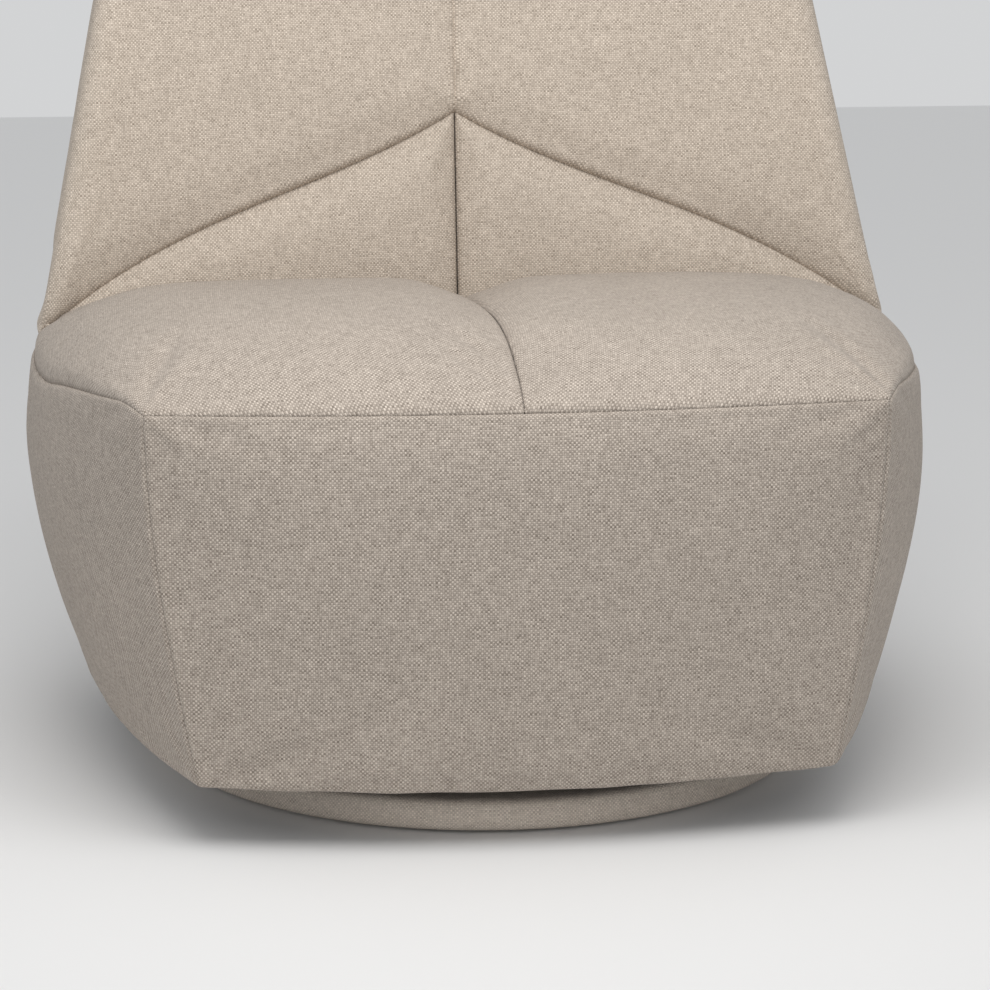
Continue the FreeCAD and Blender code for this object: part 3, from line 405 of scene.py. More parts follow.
def rear_lay(u, v):
    q = 2 * u - 1
    z = mix(HEM_Z - HEM_DROP, SEAM_Z, max(v, 0))
    corner_x, corner_y = rear_corner(z)
    point = Vector((q * corner_x, corner_y + REAR_BULGE * (1 - q * q), z))
    pull = to_core(point)
    measures = (q * corner_x * 1.03, z)
    if v < 0:
        return under_hem(point, pull, measures[0], z, v)
    seams = [((1 - abs(q)) * corner_x, SEAM_WIDTH, SEAM_DEPTH), (SEAM_Z - z, SEAM_WIDTH, SEAM_DEPTH),
             (z - HEM_Z + HEM_DROP, HEM_WIDTH, HEM_DEPTH)]
    return point, measures, seams, pull


rear_panel = lay_panel("rear_panel", spread(0.82), hem_and_up, rear_lay, Vector((0, 1, 0)),
                       body_cover_painted_shade)
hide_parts("rear_pad")
cover_panels.append(rear_panel)


# ---------------------------------------------------------------- seat top
# Two crowned halves over the seat foam, drawn down to the springs along a deep centre seam.
# The crest is near the middle of the seat; behind it the top rolls down against the back.

CREST_Z = 0.484
CREST_RUN = 0.22
FALL_FROM, FALL_RUN, FALL_DEPTH = 0.24, 0.40, 0.038
ROLL_WIDTH, ROLL_DEPTH = 0.040, 0.020
SEAT_REAR_Y, SEAT_REAR_BULGE = SHOULDER_Y + 0.034, 0.080
CREASE_TOP, CREASE_DEEP = 0.22, 0.46
BACK_HOLLOW_LOW, BACK_HOLLOW_TOP = 0.100, 0.058


def seat_lay(side):
    def lay(u, v):
        front_y = FRONT_Y - FRONT_BULGE * (1 - u * u)
        rear_y = SEAT_REAR_Y + SEAT_REAR_BULGE * (1 - u * u)
        y_edge = mix(FRONT_Y, SEAT_REAR_Y, v)
        y = mix(front_y, rear_y, v)
        edge_z = side_seam_z(y_edge)
        half = side_line_x(y_edge, edge_z)
        x = u * half
        run = y - front_y
        base = SEAM_Z + (edge_z - SEAM_Z) * u ** 3
        dome = max(1 - u ** 6, 0) ** 0.6
        rise = (1 - max(1 - run / CREST_RUN, 0) ** 2.4) ** 0.8
        z = base + (CREST_Z - base) * dome * rise
        z -= FALL_DEPTH * (max(run - FALL_FROM, 0) / FALL_RUN) ** 2.5 * dome
        z -= ROLL_DEPTH * tuck(rear_y - y, ROLL_WIDTH) * (1 - u ** 6)
        point = Vector((side * x, y, z))
        rim = min(half - x, run)
        pull = to_core(point, 1 - ease(rim, 0, 0.03))
        opened, deepened = ease(run, 0, 0.08), ease(run, CREASE_TOP, CREASE_DEEP)
        notch_depth = mix(SEAM_DEPTH, 0.010, opened) + 0.012 * deepened
        notch_width = mix(0.012, 0.030, opened) + 0.050 * deepened
        seams = [(x, notch_width, notch_depth),
                 (half - x, SEAM_WIDTH, SEAM_DEPTH), (run, SEAM_WIDTH, SEAM_DEPTH)]
        measures = (side * (x + 0.4 * (CREST_Z - z)), y)
        return point, measures, seams, pull

    return lay


for side, name in ((1, "right"), (-1, "left")):
    half_top = lay_panel(f"seat_top_{name}", spread(0.44), spread(0.58), seat_lay(side), Vector((0, 0, 1)),
                         body_cover_painted_shade)
    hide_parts(f"seat_pad_{name}")
    cover_panels.append(half_top)


# ---------------------------------------------------------------- back, lower face panels
# A pair of three-sided panels that fill the vee between the two slanting seams and the seat.
# They are sewn to each other on the centre line and to the upper panels along the slanting seams.

FOOT_X = 0.459
CORNER_CENTRE = Vector((0.2815, 0.780))
CORNER_RADIUS = 0.110
SIDE_SLOPE = 0.090 / 0.459
SIDE_TILT = math.atan(SIDE_SLOPE)
BACK_TOP_Z = 0.890
EDGE_ROUND = 0.034
SLANT_SEAM = (0.64075, -0.58954, 1.15878, -1.98439)
SLANT_DEPTH, SLANT_WIDTH = 0.014, 0.050
SLANT_SHARE = 0.88

# painted light: the back's copy of the cover cloth is made lighter than the body's, so the back comes out
# brighter under the same lamps
back_cover_painted_light = cloth_material(
    "back_cover_painted_light", (0.77, 0.675, 0.575), (0.285, 0.236, 0.19), 500.0, 0.34, 1.3, 0.30, (0.5, 0.0008),
    {**MATT_CLOTH, "Sheen Tint": (0.92, 0.87, 0.82, 1)},
)


def back_half(z):
    return 0.462 - SIDE_SLOPE * (z - SEAM_Z)


def to_outline(x, z):
    """Distance in from the back's outline, seen from the front: slanting sides, round corners, level top."""
    out_x, out_z = x - CORNER_CENTRE.x, z - CORNER_CENTRE.y
    angle = math.atan2(out_z, out_x)
    if out_z > 0 and SIDE_TILT < angle < math.pi / 2:
        return CORNER_RADIUS - math.hypot(out_x, out_z)
    return min((back_half(z) - x) * math.cos(SIDE_TILT), BACK_TOP_Z - z)


def face_y(x, z):
    """The hollow face of the back, rounded over at its outline."""
    share = (z - SEAM_Z) / (BACK_TOP_Z - SEAM_Z)
    hollow = mix(BACK_HOLLOW_LOW, BACK_HOLLOW_TOP, share)
    y = SHOULDER_Y + 0.115 * share + hollow * (1 - min(x / back_half(z), 1) ** 2)
    over = max(EDGE_ROUND - max(to_outline(x, z), 0), 0)
    return y + EDGE_ROUND - math.sqrt(EDGE_ROUND ** 2 - over ** 2)


def slant_z(x):
    """The slanting seam, from the centre line down to the foot of the back's edge."""
    return SLANT_SEAM[0] + SLANT_SEAM[1] * x + SLANT_SEAM[2] * x ** 2 + SLANT_SEAM[3] * x ** 3


BACKWARDS = Vector((0, 1, 0))


def lower_back_lay(side):
    def lay(u, v):
        x = u * FOOT_X
        low = 0.420 - 0.018 * u * u
        z = mix(low, slant_z(x), v)
        point = Vector((side * x, face_y(x, z) - 0.004, z))
        gap = (slant_z(x) - z) * SLANT_SHARE
        seams = [(gap, 0.040, SLANT_DEPTH + 0.004), (x, 0.034, 0.015), (FOOT_X - x, 0.014, 0.016)]
        return point, (side * x, z), seams, BACKWARDS

    return lay


for side, name in ((1, "right"), (-1, "left")):
    panel = lay_panel(f"lower_back_{name}", spread(FOOT_X), spread(0.20, 0.006), lower_back_lay(side),
                      Vector((0, -1, 0)), back_cover_painted_light)
    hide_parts(f"back_pad_lower_{name}")
    cover_panels.append(panel)


# ---------------------------------------------------------------- back, upper face panels
# The large panels above the slanting seams. Each runs up the face, turns round the padded edge
# and comes back over the side and the top to a seam with the outside back.

TOP_RUN = CORNER_CENTRE.x
CORNER_RUN = CORNER_RADIUS * (math.pi / 2 - SIDE_TILT)
CORNER_END = CORNER_CENTRE + CORNER_RADIUS * Vector((math.cos(SIDE_TILT), math.sin(SIDE_TILT)))
EDGE_LOW_Z, FOOT_TOP_Z = 0.402, 0.52
BORDER_LIFT, TIP_LIFT = 0.010, 0.006
TIP_HEIGHT, TIP_IN, TIP_DROP = 0.03, 0.010, 0.012
CENTRE_WIDTH, CENTRE_DEPTH = 0.036, 0.018
FOOT_WIDTH, FOOT_DEPTH = 0.014, 0.016
BORDER_CROWN = 0.004
NARROW_LOW, NARROW_TOP = 0.062, 0.025
SIDE_RUN = (CORNER_END.y - EDGE_LOW_Z) / math.cos(SIDE_TILT)


def outline(share):
    """A point of the outline and its outward direction, from the top middle down to the side's foot."""
    run = share * (TOP_RUN + CORNER_RUN + SIDE_RUN)
    if run < TOP_RUN:
        return Vector((run, BACK_TOP_Z)), Vector((0, 1))
    run -= TOP_RUN
    if run < CORNER_RUN:
        angle = math.pi / 2 - run / CORNER_RADIUS
        outwards = Vector((math.cos(angle), math.sin(angle)))
        return CORNER_CENTRE + CORNER_RADIUS * outwards, outwards
    run -= CORNER_RUN
    down = Vector((math.sin(SIDE_TILT), -math.cos(SIDE_TILT)))
    return CORNER_END + down * run, Vector((math.cos(SIDE_TILT), math.sin(SIDE_TILT)))


def narrowing(z):
    """How much the back's outline shrinks from its front edge to its rear edge."""
    return mix(NARROW_LOW, NARROW_TOP, ease(z, SEAM_Z - 0.1, 0.80))


def rear_y(x, z):
    """The rounded outside of the back."""
    share = (z - SEAM_Z) / (BACK_TOP_Z - SEAM_Z)
    half = back_half(z) - mix(NARROW_LOW, NARROW_TOP, share)
    bulge = mix(REAR_BULGE, 0.082, share)
    edge_y = mix(REAR_CORNER_Y, 0.318, share)
    return edge_y + bulge * (1 - min(abs(x) / half, 1) ** 2) + 0.015 * 4 * share * (1 - share)


def slant_gap(spot):
    """Distance of a spot on the face from the slanting seam."""
    return abs(spot.y - slant_z(min(spot.x, FOOT_X))) * SLANT_SHARE


def upper_back_lay(side):
    def lay(u, v):
        low = Vector((u * FOOT_X, slant_z(u * FOOT_X)))
        top, outwards = outline(u)
        face_share = min(v, 1)
        spot = low.lerp(top, face_share)
        tip = 1 - ease(top.y, EDGE_LOW_Z, EDGE_LOW_Z + TIP_HEIGHT)
        lift = BORDER_LIFT + TIP_LIFT * tip
        spot.x -= TIP_IN * tip * face_share
        edge_gap = (top - spot).length
        over = max(EDGE_ROUND - edge_gap, 0)
        wrapped = EDGE_ROUND * math.asin(over / EDGE_ROUND) - over
        y = face_y(spot.x, spot.y) - lift
        if v <= 1:
            gap = slant_gap(spot)
            cloth = spot + outwards * wrapped
            to_foot = (1 - u) * 0.5 + 0.03 * ease(v, 0.6, 0.95)
            seams = [(gap, SLANT_WIDTH, SLANT_DEPTH + lift), (spot.x, CENTRE_WIDTH, CENTRE_DEPTH),
                     (to_foot, FOOT_WIDTH, FOOT_DEPTH)]
            return Vector((side * spot.x, y, spot.y)), (side * cloth.x, cloth.y), seams, BACKWARDS
        back_share = v - 1
        foot = 1 - ease(top.y, EDGE_LOW_Z, FOOT_TOP_Z)
        shrink = narrowing(top.y) * back_share ** 2
        crown = BORDER_CROWN * 4 * back_share * (1 - back_share) * (1 - foot)
        spot = top + outwards * (crown - shrink)
        dive = max((SLANT_DEPTH + lift) * tuck(slant_gap(top), SLANT_WIDTH),
                   CENTRE_DEPTH * tuck(top.x, CENTRE_WIDTH))
        y_edge = face_y(top.x, top.y) - lift + dive
        y_back = rear_y(spot.x, spot.y)
        y = mix(y_edge, y_back, back_share)
        spot.y += foot * (side_seam_z(y) - EDGE_LOW_Z) - TIP_DROP * tip * ease(back_share, 0, 0.1)
        if foot > 0:
            body_x = side_line_x(min(y, rear_corner(spot.y)[1]), spot.y) - 0.003
            spot.x = mix(spot.x, body_x, foot)
        cloth = top + outwards * ((math.pi / 2 - 1) * EDGE_ROUND + (y - y_edge))
        spot.x -= TIP_IN * tip * (1 - ease(back_share, 0, 0.3))
        begun = ease(back_share, 0, 0.12)
        seams = [(y_back - y, SEAM_WIDTH, SEAM_DEPTH + 0.002), ((1 - u) * 0.84, 0.016, 0.006 * begun),
                 (top.x, 0.022, 0.009 * begun)]
        pull = Vector((-outwards.x, -0.6 * (1 - foot), -outwards.y)).normalized()
        pull.x *= side
        return Vector((side * spot.x, y, spot.y)), (side * cloth.x, cloth.y), seams, pull

    return lay


face_rows = spread(0.32, 0.0068)
border_rows = [1 + share for share in spread(0.15, 0.0085)[1:]]
for side, name in ((1, "right"), (-1, "left")):
    panel = lay_panel(f"upper_back_{name}", spread(0.84, 0.0078, 0.3), [*face_rows, *border_rows],
                      upper_back_lay(side), Vector((0, -1, 0.2)), back_cover_painted_light)
    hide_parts(f"back_pad_upper_{name}")
    cover_panels.append(panel)


# ---------------------------------------------------------------- outside back
# One panel over the rounded outside of the back, from the seam above the rear panel to the top border.

REAR_TOP_Z = BACK_TOP_Z - narrowing(BACK_TOP_Z)
rear_outline = [outline(i / 600) for i in range(601)]
rear_outline = [spot - outwards * narrowing(spot.y) for spot, outwards in rear_outline]


def rear_half(z):
    """Half the width of the outside back at a height, from its sewn outline."""
    for upper, lower in zip(rear_outline, rear_outline[1:]):
        if lower.y <= z <= upper.y and upper.y > lower.y:
            return mix(upper.x, lower.x, (upper.y - z) / (upper.y - lower.y))
    return TOP_RUN if z > CORNER_CENTRE.y else rear_outline[-1].x


def outside_lay(u, v):
    q = 2 * u - 1
    z = mix(SEAM_Z, REAR_TOP_Z, v)
    half = rear_half(z)
    x = q * half
    point = Vector((x, rear_y(x, z), z))
    pull = Vector((-x, -0.25, -max(z - 0.65, 0))).normalized()
    if z < 0.46:
        pull = to_core(point)
    seams = [((1 - abs(q)) * half, SEAM_WIDTH, SEAM_DEPTH), (REAR_TOP_Z - z, SEAM_WIDTH, SEAM_DEPTH),
             (z - SEAM_Z, SEAM_WIDTH, SEAM_DEPTH)]
    return point, (x * 1.03, z), seams, pull


outside_panel = lay_panel("outside_back_panel", spread(0.78), spread(0.44, 0.0075, 0.85), outside_lay,
                          Vector((0, 1, 0)), back_cover_painted_light)
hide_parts("outside_back")
cover_panels.append(outside_panel)


# ---------------------------------------------------------------- filling of the cover
# The wadding presses the cover outwards between its seams. The panels are blown up a little as cloth
# held at the seams, then given their thickness.

PUFF_LIMIT = 0.007
PUFF_FRAMES = 18
HELD_AT_SEAM = 0.9


def fill_panels(panels):
    """Blows the panels up as cloth held at their edges, and keeps the shape."""
    for panel in panels:
        puff = panel.modifiers.new("puff", "CLOTH")
        puff.settings.mass = 0.3
        puff.settings.tension_stiffness = 20
        puff.settings.compression_stiffness = 12
        puff.settings.shear_stiffness = 6
        puff.settings.bending_stiffness = 0.6
        puff.settings.use_pressure = True
        puff.settings.uniform_pressure_force = 4
        puff.settings.vertex_group_mass = "sewn"
        puff.settings.effector_weights.gravity = 0
        puff.collision_settings.use_collision = False
        puff.point_cache.frame_start = 1
        puff.point_cache.frame_end = PUFF_FRAMES
    for step in range(1, PUFF_FRAMES + 1):
        bpy.context.scene.frame_set(step)
    graph = bpy.context.evaluated_depsgraph_get()
    for panel in panels:
        blown = panel.evaluated_get(graph).data.vertices
        near_seam = panel.data.attributes["near_seam"].data
        moved = []
        for vert, after in zip(panel.data.vertices, blown):
            shift = after.co - vert.co
            if shift.length > 1e-9:
                shift *= PUFF_LIMIT * math.tanh(shift.length / PUFF_LIMIT) / shift.length
            moved.append(vert.co + shift * (1 - HELD_AT_SEAM * near_seam[vert.index].value ** 2))
        panel.modifiers.remove(panel.modifiers["puff"])
        for vert, spot in zip(panel.data.vertices, moved):
            vert.co = spot
    bpy.context.scene.frame_set(1)


fill_panels(cover_panels)


def give_thickness(piece, thickness, offset=-1, smoothed=False):
    """Cloth or foam grows a thickness: inwards at offset -1, both ways at 0."""
    if smoothed:
        finer = piece.modifiers.new("finer", "SUBSURF")
        finer.levels = finer.render_levels = 1
    thick = piece.modifiers.new("thickness", "SOLIDIFY")
    thick.thickness = thickness
    thick.offset = offset


for panel in cover_panels:
    give_thickness(panel, COVER_THICKNESS, smoothed=True)


# ---------------------------------------------------------------- base cover
# Cloth drawn over the rounded edge of the disc and stapled to its underside, with slight gathers
# along the lower edge where the round shape takes up the fullness.

AXIS = Vector((0, -0.042, 0))
RING_RADIUS = 0.34
BASE_PROFILE = [
    (0.190, 0.0350), (0.230, 0.0352), (0.270, 0.0354), (0.300, 0.0356), (0.318, 0.0357),
    (0.3285, 0.0356), (0.3335, 0.0350), (0.3372, 0.0336), (0.3398, 0.0310), (0.3413, 0.0270),
    (0.3420, 0.0220), (0.3420, 0.0165), (0.3414, 0.0112), (0.3398, 0.0070), (0.3370, 0.0042),
    (0.3330, 0.0030), (0.3250, 0.0026), (0.300, 0.0026),
]
# painted light: the base's copy of the cover cloth is made much lighter, standing in for the light that the
# hem above keeps off the base
base_cloth_painted_light = cloth_material(
    "base_cloth_painted_light", (0.80, 0.715, 0.625), (0.38, 0.325, 0.275), 500.0, 0.34, 1.2, 0.22, (0.5, 0.0008),
    {**MATT_CLOTH, "Sheen Tint": (0.9, 0.87, 0.86, 1)},
)
profile_run = [0.0]
for (r_low, z_low), (r_high, z_high) in zip(BASE_PROFILE, BASE_PROFILE[1:]):
    profile_run.append(profile_run[-1] + math.hypot(r_high - r_low, z_high - z_low))


def base_lay(u, v):
    angle = 2 * math.pi * u
    row = round(v * (len(BASE_PROFILE) - 1))
    radius, z = BASE_PROFILE[row]
    round_the_edge = Vector((math.cos(angle), math.sin(angle), 0))
    gather = noise.noise(round_the_edge * 17) + 0.6 * noise.noise(round_the_edge * 41)
    low = ease(0.030 - z, 0.0, 0.020) * ease(radius, 0.31, 0.335)
    radius += gather * (0.0003 + 0.0007 * low)
    z += 0.0003 * gather * ease(radius, 0.25, 0.33)
    spot = AXIS + round_the_edge * radius + Vector((0, 0, z))
    return spot, (angle * RING_RADIUS, profile_run[row]), [], Vector((0, 0, 1))


base_rows = [i / (len(BASE_PROFILE) - 1) for i in range(len(BASE_PROFILE))]
base_turns = [i / 300 for i in range(301)]
base_wrap = lay_panel("base_wrap", base_turns, base_rows, base_lay, Vector((0, 0, 1)), base_cloth_painted_light,
                      body="base", close=True)
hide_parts("base_cover")
give_thickness(base_wrap, 0.0015, smoothed=True)


# ---------------------------------------------------------------- foam
# Cut blocks of open-cell foam: a thick slab on the seat springs and a shaped layer in the back.

foam_look, given, out = effect(
    "cut_foam", [("Place", "Vector", None), ("Tone", "Color", (1, 1, 1, 1))],
    [("Colour", "Color"), ("Roughness", "Float"), ("Height", "Float")],
)
cells = place(foam_look, "ShaderNodeTexVoronoi", {"Vector": given["Place"], "Scale": 700.0})
mottle = place(foam_look, "ShaderNodeTexNoise", {"Vector": given["Place"], "Scale": 12.0, "Detail": 3.0})
cell_shade = place(foam_look, "ShaderNodeMapRange",
                   {"Value": cells.outputs["Distance"], "To Min": 0.7, "To Max": 1.05})
mottle_shade = place(foam_look, "ShaderNodeMapRange",
                     {"Value": mottle.outputs["Fac"], "To Min": 0.85, "To Max": 1.1})
mottled = sums(foam_look, "MULTIPLY", cell_shade.outputs[0], mottle_shade.outputs[0])
mottled = place(foam_look, "ShaderNodeCombineColor", {0: mottled, 1: mottled, 2: mottled})
matt = place(foam_look, "ShaderNodeMapRange", {"Value": mottle.outputs["Fac"], "To Min": 0.85, "To Max": 1.0})
fill_outputs(foam_look, out, {
    "Colour": blended(foam_look, 1.0, given["Tone"], mottled.outputs[0], "MULTIPLY"),
    "Roughness": matt.outputs[0],
    "Height": cells.outputs["Distance"],
})


def solid_material(name, group, values, shader, bump=None, scale=(1, 1, 1)):
    """A finish laid out by the piece's own place in the chair."""
    made, tree, effect_node = material_with(name, group, values, shader, bump)
    where = place(tree, "ShaderNodeTexCoord")
    turned = place(tree, "ShaderNodeMapping", {"Vector": where.outputs["Object"], "Scale": scale})
    tree.links.new(turned.outputs[0], effect_node.inputs["Place"])
    return made


foam_finish = solid_material("foam_finish", foam_look, {"Tone": (0.82, 0.76, 0.58, 1)},
                             {"Specular IOR Level": 0.2}, (0.6, 0.0006))


FOAM_INSET, FOAM_BACK_INSET = 0.036, 0.062


def foam_block(name, across, upwards, lay, facing, thickness, nodes):
    block = lay_panel(name, across, upwards, lay, facing, foam_finish)
    give_thickness(block, thickness)
    soft = block.modifiers.new("soft_edges", "BEVEL")
    soft.width = 0.006
    soft.segments = 2
    soft.limit_method = "ANGLE"
    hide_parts(*nodes)


def seat_foam_lay(u, v):
    q = 2 * u - 1
    y = mix(-0.392, 0.205, v)
    half = side_line_x(y, SEAM_Z) - FOAM_INSET
    y += -0.028 * (1 - q * q) * (1 - v)
    dome = (1 - abs(q) ** 4) * (1 - (2 * v - 1) ** 4)
    return Vector((q * half, y, 0.405 + 0.022 * dome)), (q, v), [], Vector((0, 0, -1))


def back_foam_lay(u, v):
    q = 2 * u - 1
    z = mix(0.440, 0.845, v)
    half = back_half(z) - FOAM_BACK_INSET - 0.03 * ease(z, 0.78, 0.845)
    x = q * half
    return Vector((x, face_y(abs(x), z) + 0.034, z)), (q, v), [], BACKWARDS


foam_block("seat_foam_block", spread(0.8, 0.02, 0.3), spread(0.6, 0.02, 0.3), seat_foam_lay,
           Vector((0, 0, 1)), 0.060, ["seat_foam"])
foam_block("back_foam_layer", spread(0.8, 0.02, 0.3), spread(0.4, 0.02, 0.3), back_foam_lay,
           Vector((0, -1, 0)), 0.014, ["back_foam"])


# ---------------------------------------------------------------- webbing and dust cloth
# Woven elastic straps run across the back behind the foam. A thin black cloth is stapled under
# the frame, with an opening in the middle for the links.

strap_cloth = cloth_material(
    "strap_cloth", (0.20, 0.17, 0.13), (0.07, 0.058, 0.045), 900.0, 0.4, 0.6, 0.5, (0.6, 0.0005),
    {"Specular IOR Level": 0.25},
)
dust_fabric = cloth_material(
    "dust_fabric", (0.035, 0.035, 0.036), (0.012, 0.012, 0.013), 1300.0, 0.3, 0.5, 0.4, (0.4, 0.0003),
    {"Specular IOR Level": 0.2},
)
strap_low, strap_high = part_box("back_webbing")
STRAPS, STRAP_WIDTH, STRAP_STEP = 4, 0.050, 0.070


def strap_lay(first_z):
    slope = (strap_high.y - strap_low.y - 0.002) / (strap_high.z - strap_low.z)

    def lay(u, v):
        z = first_z + STRAP_WIDTH * v
        x = mix(strap_low.x, strap_high.x, u)
        curl = 0.0012 * (1 - (2 * u - 1) ** 2) * (2 * v - 1) ** 2
        y = strap_low.y + 0.0005 + slope * (z - strap_low.z) - curl
        return Vector((x, y, z)), (x, z), [], BACKWARDS

    return lay


for i in range(STRAPS):
    strap = lay_panel(f"back_strap_{i}", spread(0.49, 0.012, 0.2), spread(STRAP_WIDTH, 0.01, 0.2),
                      strap_lay(strap_low.z + STRAP_STEP * i), Vector((0, -1, 0)), strap_cloth)
    give_thickness(strap, 0.0012, offset=0)
    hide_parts("back_webbing")

DUST_Z, DUST_SAG = 0.0748, 0.0006
DUST_HOLE = Vector((0.212, 0.200))
DUST_INSET, RIM_Z = 0.026, 0.075


def dust_lay(u, v):
    angle = 2 * math.pi * u
    way = Vector((math.cos(angle), math.sin(angle)))
    to_hole = min(DUST_HOLE.x / max(abs(way.x), 1e-6), DUST_HOLE.y / max(abs(way.y), 1e-6))
    hole = AXIS.xy + way * to_hole
    rim = rim_point(angle)
    spot = hole.lerp(rim, v)
    sag = DUST_SAG * math.sin(math.pi * v)
    return Vector((spot.x, spot.y, DUST_Z - sag)), (spot.x, spot.y), [], Vector((0, 0, 1))


def rim_point(angle):
    """Where a ray from the axis meets the inner line of the body at the height of the dust cloth."""
    way = Vector((math.cos(angle), math.sin(angle)))
    near, far = 0.1, 0.7
    for _ in range(24):
        reach = (near + far) / 2
        x, y = AXIS.x + way.x * reach, AXIS.y + way.y * reach
        corner_x, corner_y = rear_corner(RIM_Z)
        front = FRONT_Y - FRONT_BULGE * (1 - (x / front_corner_x(RIM_Z)) ** 2)
        rear = corner_y + REAR_BULGE * (1 - (x / corner_x) ** 2)
        half = side_line_x(min(max(y, FRONT_Y), corner_y), RIM_Z)
        inside = front + DUST_INSET < y < rear - DUST_INSET and abs(x) < half - DUST_INSET
        near, far = (reach, far) if inside else (near, reach)
    return AXIS.xy + way * near


dust_turns = [i / 240 for i in range(241)]
dust_cloth = lay_panel("dust_cloth", dust_turns, spread(0.2, 0.02, 0.2), dust_lay, Vector((0, 0, -1)),
                       dust_fabric, close=True)
give_thickness(dust_cloth, 0.0006, offset=0)
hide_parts("dust_cover")


# ---------------------------------------------------------------- timber frame and plywood
# Rails, posts and boards of planed hardwood, glued and stapled, round a plywood disc base.

timber, given, out = effect(
    "wood_grain",
    [("Place", "Vector", None), ("Light wood", "Color", (1, 1, 1, 1)), ("Dark wood", "Color", (0, 0, 0, 1)),
     ("Rings", "Float", 60.0)],
    [("Colour", "Color"), ("Roughness", "Float"), ("Height", "Float")],
)
wander = place(timber, "ShaderNodeTexNoise", {"Vector": given["Place"], "Scale": 6.0, "Detail": 3.0})
wandered = place(timber, "ShaderNodeMix", {0: 0.06, 4: given["Place"], 5: wander.outputs["Color"]},
                 data_type="VECTOR").outputs[1]
rings = place(timber, "ShaderNodeTexWave", {"Vector": wandered, "Scale": given["Rings"], "Distortion": 3.0,
                                            "Detail": 2.0, "Detail Scale": 1.5}, bands_direction="Y")
pores = place(timber, "ShaderNodeTexNoise", {"Vector": wandered, "Scale": 240.0, "Detail": 2.0})
grain = sums(timber, "ADD", sums(timber, "MULTIPLY", rings.outputs["Fac"], 0.65),
             sums(timber, "MULTIPLY", pores.outputs["Fac"], 0.35))
planed = place(timber, "ShaderNodeMapRange", {"Value": grain, "To Min": 0.75, "To Max": 0.5})
fill_outputs(timber, out, {
    "Colour": blended(timber, grain, given["Dark wood"], given["Light wood"]),
    "Roughness": planed.outputs[0],
    "Height": grain,
})
hardwood = solid_material(
    "hardwood", timber,
    {"Light wood": (0.52, 0.36, 0.20, 1), "Dark wood": (0.30, 0.18, 0.09, 1), "Rings": 26.0},
    {}, (0.15, 0.0006), (0.25, 1, 1))
plywood = solid_material(
    "plywood", timber,
    {"Light wood": (0.62, 0.47, 0.29, 1), "Dark wood": (0.40, 0.27, 0.14, 1), "Rings": 90.0},
    {}, (0.15, 0.0006), (0.2, 0.2, 1))


def finish_nodes(material, *names):
    """Gives CAD parts their finish."""
    for name in names:
        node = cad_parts[name]
        if not node.material_slots:
            node.data.materials.append(material)
        for slot in node.material_slots:
            slot.material = material


finish_nodes(plywood, "base_board")
finish_nodes(hardwood, "mount_board_right", "mount_board_left", "bottom_rail_front", "bottom_rail_rear",
             "bottom_rail_right", "bottom_rail_left", "seat_rail_front", "seat_rail_rear", "seat_rail_right",
             "seat_rail_left", "corner_posts", "back_post_right", "back_post_left", "back_mid_rail",
             "back_top_rail")


# ---------------------------------------------------------------- steelwork
# Black powder-coated swivel frame, links and rails, zinc-plated screws and pins, and the bearing.

metal, given, out = effect(
    "worked_metal",
    [("Place", "Vector", None), ("Metal", "Color", (1, 1, 1, 1)), ("Worn", "Color", (0.5, 0.5, 0.5, 1)),
     ("Wear", "Float", 0.3), ("Smooth", "Float", 0.3), ("Grainy", "Float", 900.0)],
    [("Colour", "Color"), ("Roughness", "Float"), ("Height", "Float")],
)
scuffs = place(metal, "ShaderNodeTexNoise",
               {"Vector": given["Place"], "Scale": 45.0, "Detail": 6.0, "Roughness": 0.7})
skin_grain = place(metal, "ShaderNodeTexNoise",
                   {"Vector": given["Place"], "Scale": given["Grainy"], "Detail": 1.0})
worn = place(metal, "ShaderNodeMapRange",
             {"Value": scuffs.outputs["Fac"], "From Min": 0.55, "From Max": 0.75})
worn = sums(metal, "MULTIPLY", worn.outputs[0], given["Wear"])
rough = sums(metal, "ADD", given["Smooth"], sums(metal, "MULTIPLY", scuffs.outputs["Fac"], 0.16))
fill_outputs(metal, out, {
    "Colour": blended(metal, worn, given["Metal"], given["Worn"]),
    "Roughness": sums(metal, "ADD", rough, sums(metal, "MULTIPLY", worn, 0.12)),
    "Height": sums(metal, "SUBTRACT", skin_grain.outputs["Fac"], worn),
})
black_steel = solid_material(
    "black_powder_coat", metal,
    {"Metal": (0.016, 0.016, 0.018, 1), "Worn": (0.09, 0.09, 0.092, 1), "Wear": 0.5, "Smooth": 0.36,
     "Grainy": 900.0}, {"Coat Weight": 0.15}, (0.25, 0.0003))
zinc_steel = solid_material(
    "zinc_plate", metal,
    {"Metal": (0.62, 0.62, 0.60, 1), "Worn": (0.42, 0.42, 0.43, 1), "Wear": 0.6, "Smooth": 0.26,
     "Grainy": 1500.0}, {"Metallic": 1.0}, (0.12, 0.0002))
bearing_steel = solid_material(
    "bearing_steel", metal,
    {"Metal": (0.74, 0.74, 0.75, 1), "Worn": (0.55, 0.54, 0.52, 1), "Wear": 0.4, "Smooth": 0.12,
     "Grainy": 2500.0}, {"Metallic": 1.0}, (0.05, 0.0001))
spring_steel = solid_material(
    "spring_steel", metal,
    {"Metal": (0.10, 0.10, 0.105, 1), "Worn": (0.20, 0.19, 0.18, 1), "Wear": 0.6, "Smooth": 0.3,
     "Grainy": 1500.0}, {"Metallic": 0.9}, (0.12, 0.0002))

finish_nodes(black_steel, "swivel_plate", "cross_tubes", "hanger_right", "hanger_left", "front_link_right",
             "front_link_left", "front_link_tube", "rear_link_right", "rear_link_left", "rear_link_tube",
             "rail_right", "rail_left")
finish_nodes(zinc_steel, "base_feet_screws", "lower_race_bolts", "swivel_bolts", "upper_pivot_pins",
             "rail_bolts", "lower_race", "upper_race")
finish_nodes(bearing_steel, "bearing_balls")
finish_nodes(spring_steel, "seat_springs")


